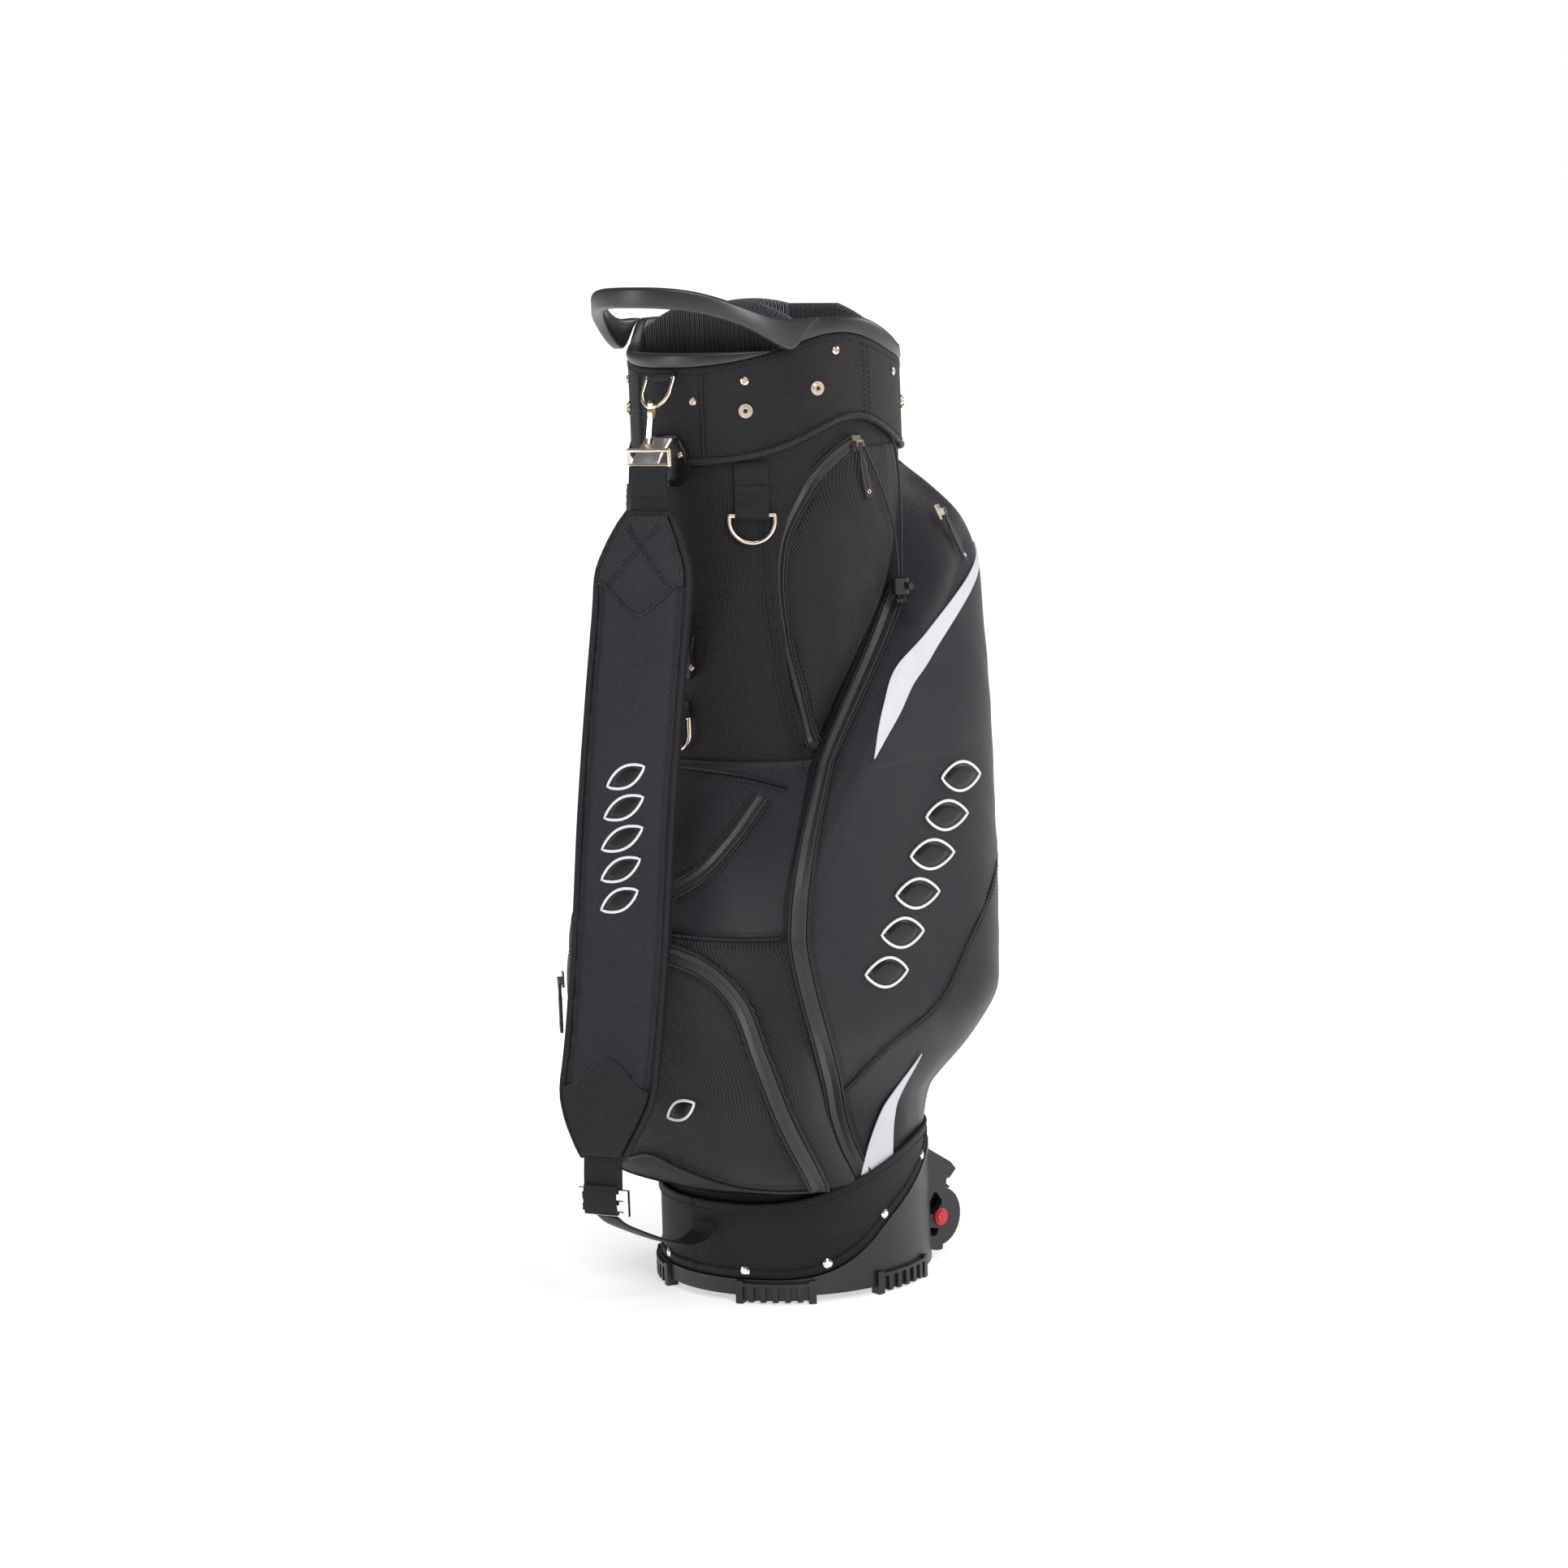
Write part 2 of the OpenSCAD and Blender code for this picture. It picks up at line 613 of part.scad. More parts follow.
tail_path = [[6, -236, 99], [7, -226, 90], [8, -208, 80], [9, -188, 70], [10, -170, 62],
             [11, -154, 57], [11, -140, 57], [12, -130, 62], [12, -126.5, 72]];
module strap_tail() color(black) flat_band([for (p = tail_path) [p, 26, 2.4]], 5);

// ---- carrying handle on the strap side ----

plate_z = [586, 756];        // heights of the handle's two end plates
handle_curve = [[776, 130], [768, 137], [760, 144.5], [745, 151], [722, 154.5], [690, 155],
                [655, 152], [625, 144], [603, 134], [588, 128]];
module carry_handle() color(silver) flat_band([for (i = [len(handle_curve) - 1:-1:0])
    [[0, -handle_curve[i][1], handle_curve[i][0]], 34, 4]], 0);

module handle_plates() color(black) for (i = [0, 1])
    intersection() {
        ring(i == 0 ? 122.5 : 126.8, i == 0 ? tube_r + tiny : tube_r + 4.6, 500, 800);
        translate([0, 0, plate_z[i]]) rotate([90, 0, 0]) intersection() {
            cylinder(r = 27, h = 200);
            translate([-26, -22, 0]) cube([52, 44, 200]);
        }
    }
module handle_rivets() color(metal) for (i = [0, 1]) for (a = [-9.5, 9.5]) at_angle(a)
    translate([0, i == 0 ? -122.7 : -127, plate_z[i] + (i == 0 ? -12 : 6)]) rivet(2.6, 0.8);

// ---- drawcord with its lock ----

lock_at = [149.5, 12, 640];
cord_r = 1.2;
cord_gap = 4;    // between the two strands inside the lock
near_route = [[121, -6, 774], [124, -6, 771], [129, -4, 760], [136, 0, 740], [143, 5, 715],
              [147.5, 9, 690], [149.4, 10.3, 665], [149.7, 10.5, 650], [149.7, 10.5, 640],
              [149.7, 10.5, 633], [149.6, 10.5, 627]];
back_route = [[114, 40, 770], [117, 41, 767], [122, 40, 757], [131, 34, 738], [140, 26, 714],
              [147, 19, 690], [149.4, 15, 665], [149.7, 14.5, 650], [149.7, 14.5, 640],
              [149.7, 14.5, 633], [149.8, 14.3, 627]];

module cord_tube(route, r) {
    sides = 8;
    last = len(route) - 1;
    rings = [for (i = [0:last]) let (
        d = route[min(last, i + 1)] - route[max(0, i - 1)],
        u = cross(d, [1, 0, 0]) / norm(cross(d, [1, 0, 0])),
        v = cross(u, d) / norm(d))
        each [for (k = [0:sides - 1]) route[i] + r * (u * cos(k * 360 / sides)
            + v * sin(k * 360 / sides))]];
    walls = [for (i = [0:last - 1]) for (k = [0:sides - 1]) let (n = (k + 1) % sides)
        [i * sides + k, (i + 1) * sides + k, (i + 1) * sides + n, i * sides + n]];
    caps = [[for (k = [0:sides - 1]) k], [for (k = [sides - 1:-1:0]) last * sides + k]];
    polyhedron(rings, concat(walls, caps), convexity = 6);
}
module cord_near() color(black) cord_tube(near_route, cord_r);
module cord_back() color(black) cord_tube(back_route, cord_r);

module cord_lock() color(black) translate(lock_at) difference() {
    translate([0, 0.5, -7]) cylinder(r = 8, h = 14, $fn = 40);
    for (y = [0.5 - cord_gap / 2, 0.5 + cord_gap / 2]) translate([0.2, y, -8])
        cylinder(r = cord_r + 0.3, h = 16, $fn = 24);
    translate([2, 0.5, 0]) rotate([0, 90, 0]) cylinder(r = 3.3, h = 10, $fn = 32);
}
module lock_button() color(black) translate(lock_at + [6.5, 0.5, 0]) rotate([0, 90, 0])
    cylinder(r = 3.25, h = 7, $fn = 32);

place() base_tub();
place() wheel_housing_near();
place() wheel_housing_far();
place() floor_pad();
place() axle_pins();
place() hub_caps();
place() wheel_near();
place() tyre_near();
place() wheel_far();
place() tyre_far();
place() tube_front();
place() tube_back();
place() stay_rods();
place() base_cuff();
place() base_rivets();
place() collar_band();
place() collar_rivets();
place() collar_snaps();
place() collar_rim();
place() lift_loop();
place() rear_grip();
place() divider_top();
place() divider_sheets();
place() ball_pocket();
place() small_pocket();
place() side_pocket_near();
place() side_pocket_far();
place() valuables_pocket_near();
place() valuables_pocket_far();
place() zip_sliders();
place() zip_pull_1();
place() zip_pull_2();
place() zip_pull_3();
place() zip_pull_4();
place() zip_pull_5();
place() strap_tab();
place() strap_ring();
place() snap_hook();
place() hook_gate();
place() web_eye();
place() strap_web_top();
place() shoulder_pad();
place() strap_web_low();
place() strap_buckle();
place() strap_tail();
place() carry_handle();
place() handle_plates();
place() handle_rivets();
place() mid_ring_tab();
place() mid_ring();
place() towel_tab();
place() towel_ring();
place() cord_near();
place() cord_back();
place() cord_lock();
place() lock_button();
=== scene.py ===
"""Looks of a wheeled golf cart bag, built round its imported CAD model.

Lengths named below are in millimetres, and angles in degrees from the strap side (-Y)
towards the near side (+X). Meshes are written in metres, in the row frame.
"""

import math

import bpy
from mathutils import Matrix, Vector, noise


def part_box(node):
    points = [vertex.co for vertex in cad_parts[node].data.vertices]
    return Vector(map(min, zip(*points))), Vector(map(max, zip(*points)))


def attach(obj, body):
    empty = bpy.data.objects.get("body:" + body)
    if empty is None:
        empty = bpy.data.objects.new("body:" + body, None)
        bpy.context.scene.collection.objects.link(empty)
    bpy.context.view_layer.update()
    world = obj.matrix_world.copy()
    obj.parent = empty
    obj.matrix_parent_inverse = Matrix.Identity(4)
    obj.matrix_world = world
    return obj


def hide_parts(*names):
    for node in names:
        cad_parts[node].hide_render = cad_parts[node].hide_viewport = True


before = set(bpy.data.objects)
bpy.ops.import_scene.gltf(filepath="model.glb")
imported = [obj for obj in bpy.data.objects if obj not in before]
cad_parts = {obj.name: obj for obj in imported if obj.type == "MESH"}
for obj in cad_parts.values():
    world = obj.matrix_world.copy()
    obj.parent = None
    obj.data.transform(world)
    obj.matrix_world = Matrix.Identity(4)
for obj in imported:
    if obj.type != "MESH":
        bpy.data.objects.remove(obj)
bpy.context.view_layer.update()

MM = 0.001
UP = Vector((0, 0, 1))
FRONT_HALF, BACK_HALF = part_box("tube_front"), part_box("tube_back")
TUBE_R = (FRONT_HALF[1].x - FRONT_HALF[0].x) / 2 / MM
TUBE_Y = (FRONT_HALF[0].y + BACK_HALF[1].y) / 2 / MM


# ---------------------------------------------------------------- numbers and curves

def sin(a):
    return math.sin(math.radians(a))


def cos(a):
    return math.cos(math.radians(a))


def ease(t):
    c = min(1, max(0, t))
    return c * c * (3 - 2 * c)


def roll(t):
    """A quarter round, from 0 at t = 0 to 1 at t = 1 and beyond."""
    c = min(1, max(0, t))
    return math.sqrt(1 - (1 - c) ** 2)


def spline(points, t):
    """Point at t, from 0 to 1, on a smooth curve through the points."""
    last = len(points) - 1
    x = min(max(t, 0), 1) * last
    i = min(int(x), last - 1)
    f = x - i
    p1, p2 = Vector(points[i]), Vector(points[i + 1])
    p0 = Vector(points[i - 1]) if i > 0 else p1 * 2 - p2
    p3 = Vector(points[i + 2]) if i + 2 <= last else p2 * 2 - p1
    return 0.5 * (2 * p1 + (p2 - p0) * f + (2 * p0 - 5 * p1 + 4 * p2 - p3) * f ** 2
                  + (3 * p1 - p0 - 3 * p2 + p3) * f ** 3)


def smooth(x, table):
    """Value at x on a smooth curve through [x, value] rows."""
    if x <= table[0][0]:
        return table[0][1]
    if x >= table[-1][0]:
        return table[-1][1]
    i = next(k for k, row in enumerate(table) if x <= row[0])
    (x0, y0), (x1, y1) = table[i - 1], table[i]
    before, after = table[max(i - 2, 0)], table[min(i + 1, len(table) - 1)]
    span = x1 - x0
    f = (x - x0) / span
    m0 = (y1 - before[1]) / max(x1 - before[0], 1) * span
    m1 = (after[1] - y0) / max(after[0] - x0, 1) * span
    h = 3 * f * f - 2 * f ** 3
    return y0 * (1 - h) + y1 * h + m0 * (f - 2 * f * f + f ** 3) + m1 * (f ** 3 - f * f)


# ---------------------------------------------------------------- the bag's surfaces

SIDE_REACH, FRONT_REACH, BACK_REACH = 165, 184, 164
SIDE_EDGE = [[110, 72], [150, 63], [230, 53], [315, 47], [364, 46], [428, 51], [489, 60],
             [541, 72], [594, 87], [639, 101], [690, 113], [742, 122]]
FRONT_FILL = [[108, 0.55], [130, 0.8], [170, 0.95], [220, 1], [320, 1], [345, 0.93],
              [400, 0.72], [440, 0.45], [488, 0.03]]
SIDE_FILL = [[108, 0.02], [140, 0.05], [160, 0.09], [175, 0.17], [215, 0.62], [255, 0.95], [300, 1],
             [400, 1], [540, 0.97], [600, 0.93], [655, 0.86], [692, 0.69], [720, 0.36],
             [742, 0.03]]
FRONT_LOW, FRONT_SEAM, FRONT_TOP = 110, 345, 488
SIDE_LOW, SIDE_HIGH, SIDE_BACK = 108, 742, 150
VALUABLES_EDGE = [[500, 60.5], [520, 59], [560, 54], [598, 52], [648, 50], [690, 53],
                  [731, 64], [762, 82]]
VALUABLES_LOW, VALUABLES_HIGH = 503, 762
CLOTH = 0.6         # fabric's thickness over the tube


def at(theta, r, z):
    """Point of the bag at an angle, a distance from the tube's axis and a height."""
    return Vector((r * sin(theta), TUBE_Y - r * cos(theta), z))


def outward(theta):
    return Vector((sin(theta), -cos(theta), 0))


def sideways(theta):
    return Vector((cos(theta), sin(theta), 0))


def reach(theta):
    """Full reach of the pockets in one direction."""
    s, c = abs(sin(theta)), abs(cos(theta))
    back = cos(theta) <= 0
    power = 4 if back else 3
    depth = BACK_REACH if back else FRONT_REACH
    return 1 / ((s / SIDE_REACH) ** power + (c / depth) ** power) ** (1 / power)


def side_edge(z):
    return smooth(z, SIDE_EDGE)


def creases(theta, z, size):
    """Soft wrinkles of filled fabric."""
    across = theta * 3
    broad = noise.noise(Vector((across / 55, z / 80, 4)))
    fine = noise.noise(Vector(((across + z) / 34, (across - z) / 120, 9)))
    return size * (broad + 0.6 * fine)


def side_full(theta, z):
    return TUBE_R + CLOTH + (reach(theta) - TUBE_R) * smooth(z, SIDE_FILL)


def front_skin(theta, z):
    """The front pockets, falling to the side pockets' edges low down."""
    if z >= FRONT_TOP:
        return TUBE_R + CLOTH
    edge = side_edge(z)
    a = min(abs(theta), edge)
    full = TUBE_R + CLOTH + (reach(a) - TUBE_R) * smooth(z, FRONT_FILL)
    low = side_full(edge, z)
    if low < full:
        full = low + (full - low) * roll((edge - a) * 3 / 40)
    seam = 2.4 * math.exp(-((z - FRONT_SEAM) / 4.5) ** 2)
    return full - seam


def side_skin(theta, z):
    """The side pockets, round-edged towards the front and the back."""
    a = abs(theta)
    edge = side_edge(z)
    base = front_skin(edge, z)
    full = side_full(a, z)
    deg = math.radians(1) * full
    out = base + (full - base) * sin(90 * min(1, (a - edge) * deg / 46))
    back = roll((SIDE_BACK - a) * deg / 30)
    return TUBE_R + CLOTH + (out - TUBE_R - CLOTH) * back


def valuables_back(z):
    return side_edge(z) - 1


def valuables_skin(theta, z):
    a = abs(theta)
    low, high = smooth(z, VALUABLES_EDGE), valuables_back(z)
    across = (a - low) / max(high - low, 1)
    up = (z - VALUABLES_LOW) / (VALUABLES_HIGH - VALUABLES_LOW)
    if not 0 < across < 1 or not 0 < up < 1:
        return TUBE_R + CLOTH
    puff = 26 * math.sin(math.pi * up) ** 0.8 * math.sin(math.pi * min(across, 1)) ** 0.6
    return TUBE_R + CLOTH + puff


def skin(theta, z):
    """The outermost fabric at any angle and height."""
    a = abs(theta)
    if SIDE_LOW < z < SIDE_HIGH and side_edge(z) <= a <= SIDE_BACK:
        r = side_skin(a, z)
    elif FRONT_LOW <= z < FRONT_TOP and a <= side_edge(z):
        r = front_skin(a, z)
    else:
        r = TUBE_R + CLOTH
    if VALUABLES_LOW < z < VALUABLES_HIGH and a < side_edge(z):
        r = max(r, valuables_skin(a, z))
    return r


FITTING_R = 121     # radius on which the cuff's and the collar's edges are drawn


def collar_y(theta):
    return -FITTING_R * cos(theta)


def cuff_low(theta):
    y = collar_y(theta)
    if y < -95:
        return 22
    if y < -6:
        return 22 + 0.0054 * (y + 95) ** 2
    return min(118, 64.8 + 0.62 * (y + 6))


def cuff_high(theta):
    return 91 + 46 * ease((collar_y(theta) + 115) / 190)


def band_low(theta):
    return 752 + 37 * math.exp(-((collar_y(theta) + 10) / 64) ** 2)


def band_high(theta):
    return 832 + 31 * math.exp(-((collar_y(theta) + 24) / 70) ** 2)


RIM_FRONT, SHOULDER_RISE = 850, 27


def rim_high_at(y):
    return RIM_FRONT + SHOULDER_RISE * ease((y + 78) / 32) - 32 * ease((y + 10) / 110)


def rim_high(theta):
    return rim_high_at(collar_y(theta))


# ---------------------------------------------------------------- mesh making

def make_mesh(name, points, faces, uvs=None):
    """A mesh object from points in millimetres; uvs holds one pair per point."""
    mesh = bpy.data.meshes.new(name)
    mesh.from_pydata([p * MM for p in points], [], faces)
    if uvs:
        layer = mesh.uv_layers.new(name="weave")
        for loop in mesh.loops:
            layer.data[loop.index].uv = [c * MM for c in uvs[loop.vertex_index]]
    mesh.polygons.foreach_set("use_smooth", [True] * len(mesh.polygons))
    mesh.update()
    obj = bpy.data.objects.new(name, mesh)
    bpy.context.scene.collection.objects.link(obj)
    return obj


def grid(name, across, up, place, closed=False, thick=1.6):
    """A fabric patch: place(u, v) gives its points, u across and v up, each 0 to 1."""
    width = across if closed else across + 1
    points, uvs = [], []
    for j in range(up + 1):
        row = [place(i / across, j / up) for i in range(width)]
        points += row
        run = 0
        for i, p in enumerate(row):
            run += (p - row[i - 1]).length if i else 0
            uvs.append((run, p.z))
    faces = []
    for j in range(up):
        for i in range(across):
            k = (i + 1) % width
            faces.append((j * width + i, j * width + k, (j + 1) * width + k, (j + 1) * width + i))
    obj = make_mesh(name, points, faces, uvs)
    if thick:
        solid = obj.modifiers.new("cloth", "SOLIDIFY")
        solid.thickness = thick * MM
        solid.offset = -1
    return obj


def tube_faces(rows, around, closed=False, flipped=False, start=0):
    """Faces of a tube made of rows of points, with around points in each row."""
    faces = []
    for i in range(rows if closed else rows - 1):
        j = (i + 1) % rows
        for k in range(around):
            m = (k + 1) % around
            a, b, c, d = i * around + k, i * around + m, j * around + m, j * around + k
            face = (a, d, c, b) if flipped else (a, b, c, d)
            faces.append(tuple(corner + start for corner in face))
    return faces


def sweep(name, rails, profile, closed=False):
    """A band along rails, rows of (place, side, up), with a profile of (side, up) points.
    profile may be a function of the position along the rail, from 0 to 1."""
    shape = profile if callable(profile) else lambda t: profile
    last = max(len(rails) - 1, 1)
    points, uvs, run = [], [], 0
    n = len(shape(0))
    for i, (place, side, up) in enumerate(rails):
        run += (place - rails[i - 1][0]).length if i else 0
        for s, u in shape(i / last):
            points.append(place + side * s + up * u)
            uvs.append((s, run))
    rows = len(rails)
    faces = tube_faces(rows, n, closed)
    if not closed:
        faces.append(tuple(reversed(range(n))))
        faces.append(tuple((rows - 1) * n + k for k in range(n)))
    return make_mesh(name, points, faces, uvs)


def round_profile(r, sides=8):
    return [(r * cos(360 * k / sides), r * sin(360 * k / sides)) for k in range(sides)]


def box_profile(width, thick, bevel=None):
    """A flat band's section with rounded edges, lying on its own middle line."""
    w, t = width / 2, thick / 2
    b = min(bevel or t * 0.8, t)
    turns = (0, 45, 90)
    corners = []
    for sx, sy, start in ((1, 1, 0), (-1, 1, 90), (-1, -1, 180), (1, -1, 270)):
        corners += [(sx * (w - b) + b * cos(start + a), sy * (t - b) + b * sin(start + a))
                    for a in turns]
    return corners


def rails_on(path, lift=0.0, steps=60, shift=0.0, surface=skin):
    """Rails along a path of (angle, height) points laid on the fabric."""
    spots = [spline(path, i / steps) for i in range(steps + 1)]

    def place(theta, z):
        return at(theta, surface(theta, z), z)

    rails = []
    for i, spot in enumerate(spots):
        theta, z = spot[0], spot[1]
        p = place(theta, z)
        normal = (place(theta + 1, z) - place(theta - 1, z)).cross(
            place(theta, z + 3) - place(theta, z - 3)).normalized()
        before, after = spots[max(i - 1, 0)], spots[min(i + 1, steps)]
        along = (place(after[0], after[1]) - place(before[0], before[1])).normalized()
        side = along.cross(normal).normalized()
        rails.append((p + normal * lift + side * shift, side, normal))
    return rails


def round_rails(r, height, steps=96):
    """Rails round the tube at a radius, height being a function of the angle."""
    angles = [360 * i / steps for i in range(steps + 1)]
    spots = [at(t, r, height(t)) for t in angles]
    rails = []
    for i, (t, p) in enumerate(zip(angles, spots)):
        normal = outward(t)
        along = (spots[min(i + 1, steps)] - spots[max(i - 1, 0)]).normalized()
        rails.append((p, along.cross(normal).normalized(), normal))
    return rails


STITCH_LONG, STITCH_R, STITCH_LIFT = 3.0, 0.42, 0.3


def stitch_row(rails, pitch):
    """Points and faces of a row of thread stitches along rails."""
    points, faces = [], []
    travel, goal = 0.0, pitch / 2
    for (a, side, up), (b, _, _) in zip(rails, rails[1:]):
        step = (b - a).length
        while step > 0 and goal <= travel + step:
            along = (b - a) / step
            mid = a + along * (goal - travel) + up * STITCH_LIFT
            wide, high = side * STITCH_R, up * STITCH_R
            base = len(points)
            for place, pointed in ((-0.5, True), (-0.3, False), (0.3, False), (0.5, True)):
                centre = mid + along * STITCH_LONG * place
                if pointed:
                    points.append(centre - high * 0.5)
                else:
                    points += [centre + wide, centre + high, centre - wide, centre - high]
            for k in range(4):
                m = (k + 1) % 4
                faces += [(base, base + 1 + k, base + 1 + m),
                          (base + 1 + k, base + 5 + k, base + 5 + m, base + 1 + m),
                          (base + 5 + k, base + 9, base + 5 + m)]
            goal += pitch
        travel += step
    return points, faces


def stitches(name, rows, pitch=4.4):
    """One object holding several rows of stitches."""
    points, faces = [], []
    for rails in rows:
        p, f = stitch_row(rails, pitch)
        faces += [tuple(k + len(points) for k in face) for face in f]
        points += p
    return make_mesh(name, points, faces)


def finish_piece(obj, material, body="bag", replaces=()):
    """Gives a piece its material, the body it rides on and what it replaces."""
    obj.data.materials.clear()
    obj.data.materials.append(MATERIALS[material])
    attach(obj, body)
    if replaces:
        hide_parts(*replaces)
    return obj


def mirrored(obj, name):
    """A copy of a piece on the other side of the bag."""
    twin = obj.copy()
    twin.data = obj.data.copy()
    twin.name = name
    bpy.context.scene.collection.objects.link(twin)
    twin.data.transform(Matrix.Scale(-1, 4, Vector((1, 0, 0))))
    twin.data.flip_normals()
    return twin


# ---------------------------------------------------------------- camera, light and floor

def make_camera():
    """A long lens from the near front corner, a little above the bag's top."""
    azimuth, distance, height = 46, 3.6, 1.0
    pitch, tilt, turn_right, lens = 8.65, 2.1, 0.07, 91.83
    data = bpy.data.cameras.new("camera")
    data.lens = lens
    data.sensor_width = 36
    data.clip_end = 200
    camera = bpy.data.objects.new("camera", data)
    forward, right = -outward(azimuth), sideways(azimuth)
    ahead = forward * cos(pitch) - UP * sin(pitch)
    over = UP * cos(pitch) + forward * sin(pitch)
    ahead = (ahead * cos(turn_right) + right * sin(turn_right)).normalized()
    right = ahead.cross(over).normalized()
    x = right * cos(tilt) - over * sin(tilt)
    y = over * cos(tilt) + right * sin(tilt)
    place = Vector((distance * sin(azimuth), TUBE_Y * MM - distance * cos(azimuth), height))
    turn = Matrix((x, y, -ahead)).transposed().to_4x4()
    camera.matrix_world = Matrix.Translation(place) @ turn
    bpy.context.scene.collection.objects.link(camera)
    bpy.context.scene.camera = camera


def area_light(name, place, power, size, aim=(0, 0, 0.45)):
    data = bpy.data.lights.new(name, "AREA")
    data.energy = power
    data.shape = "RECTANGLE"
    data.size, data.size_y = size
    light = bpy.data.objects.new(name, data)
    light.location = place
    light.rotation_euler = (Vector(aim) - Vector(place)).to_track_quat("-Z", "Y").to_euler()
    bpy.context.scene.collection.objects.link(light)


def make_studio():
    scene = bpy.context.scene
    scene.view_settings.view_transform = "Standard"
    world = bpy.data.worlds.new("studio")
    world.use_nodes = True
    tree = world.node_tree
    background = tree.nodes["Background"]
    background.inputs["Color"].default_value = (1, 1, 1, 1)
    # the backdrop is white to the camera and dimmer as a light
    seen = tree.nodes.new("ShaderNodeLightPath").outputs["Is Camera Ray"]
    dimmer = tree.nodes.new("ShaderNodeMapRange")
    dimmer.inputs["To Min"].default_value = 0.16
    tree.links.new(seen, dimmer.inputs["Value"])
    tree.links.new(dimmer.outputs["Result"], background.inputs["Strength"])
    scene.world = world
    area_light("key", (2.2, -0.9, 1.7), 46, (0.6, 1.7))
    area_light("fill", (-1.7, -2.3, 1.3), 16, (0.8, 1.8))
    area_light("back", (0.9, 2.4, 1.8), 30, (1.8, 1.2))
    area_light("top", (0.3, -0.5, 2.6), 18, (1.3, 1.3), aim=(0, 0, 0.85))
    floor = grid("floor", 8, 8, lambda u, v: Vector(((u - 0.5), (v - 0.5), 0)) * 60000, thick=0)
    g = Graph("floor_white")
    _, x, y, _ = g.coordinates(False)
    away = g.math("ADD", g.math("MULTIPLY", x, x), g.math("MULTIPLY", y, y))
    glow = g.math("MINIMUM", g.math("ADD", g.math("MULTIPLY", away, 0.6), 0.55), 1.0)
    g.link(glow, g.shader.inputs["Emission Strength"])
    g.set(Base_Color=(0.93, 0.93, 0.93, 1), Emission_Color=(1, 1, 1, 1), Roughness=0.3,
          Specular_IOR_Level=0.4)
    floor.data.materials.append(g.material)


# ---------------------------------------------------------------- materials

def new_material(name):
    material = bpy.data.materials.new(name)
    material.use_nodes = True
    return material, material.node_tree.nodes["Principled BSDF"]


class Graph:
    """Short calls for a material's nodes."""

    def __init__(self, name):
        self.material, self.shader = new_material(name)
        self.tree = self.material.node_tree

    def node(self, kind, **values):
        made = self.tree.nodes.new("ShaderNode" + kind)
        for key, value in values.items():
            setattr(made, key, value)
        return made

    def link(self, source, target):
        self.tree.links.new(source, target)

    def math(self, operation, a, b=None):
        made = self.node("Math", operation=operation)
        for socket, value in zip(made.inputs, (a, b)):
            if value is None:
                continue
            if hasattr(value, "is_linked"):
                self.link(value, socket)
            else:
                socket.default_value = value
        return made.outputs[0]

    def coordinates(self, woven):
        if woven:
            source = self.node("UVMap", uv_map="weave").outputs["UV"]
        else:
            source = self.node("TexCoord").outputs["Object"]
        split = self.node("SeparateXYZ")
        self.link(source, split.inputs[0])
        return source, split.outputs["X"], split.outputs["Y"], split.outputs["Z"]

    def noise(self, source, scale, detail=3.0):
        made = self.node("TexNoise")
        made.inputs["Scale"].default_value = scale
        made.inputs["Detail"].default_value = detail
        self.link(source, made.inputs["Vector"])
        return made.outputs["Fac"]

    def wave(self, coordinate, pitch):
        """A sine along a coordinate, with its period in metres."""
        return self.math("SINE", self.math("MULTIPLY", coordinate, 2 * math.pi / pitch))

    def colour(self, factor, dark, light, low=0.0, high=1.0):
        ramp = self.node("ValToRGB")
        ramp.color_ramp.elements[0].position = low
        ramp.color_ramp.elements[1].position = high
        ramp.color_ramp.elements[0].color = (*dark, 1)
        ramp.color_ramp.elements[1].color = (*light, 1)
        self.link(factor, ramp.inputs[0])
        self.link(ramp.outputs[0], self.shader.inputs["Base Color"])

    def bump(self, height, distance, strength=0.6):
        made = self.node("Bump")
        made.inputs["Distance"].default_value = distance
        made.inputs["Strength"].default_value = strength
        self.link(height, made.inputs["Height"])
        self.link(made.outputs[0], self.shader.inputs["Normal"])

    def rough(self, factor, low, high):
        scaled = self.math("ADD", self.math("MULTIPLY", factor, high - low), low)
        self.link(scaled, self.shader.inputs["Roughness"])

    def set(self, **values):
        for key, value in values.items():
            self.shader.inputs[key.replace("_", " ")].default_value = value


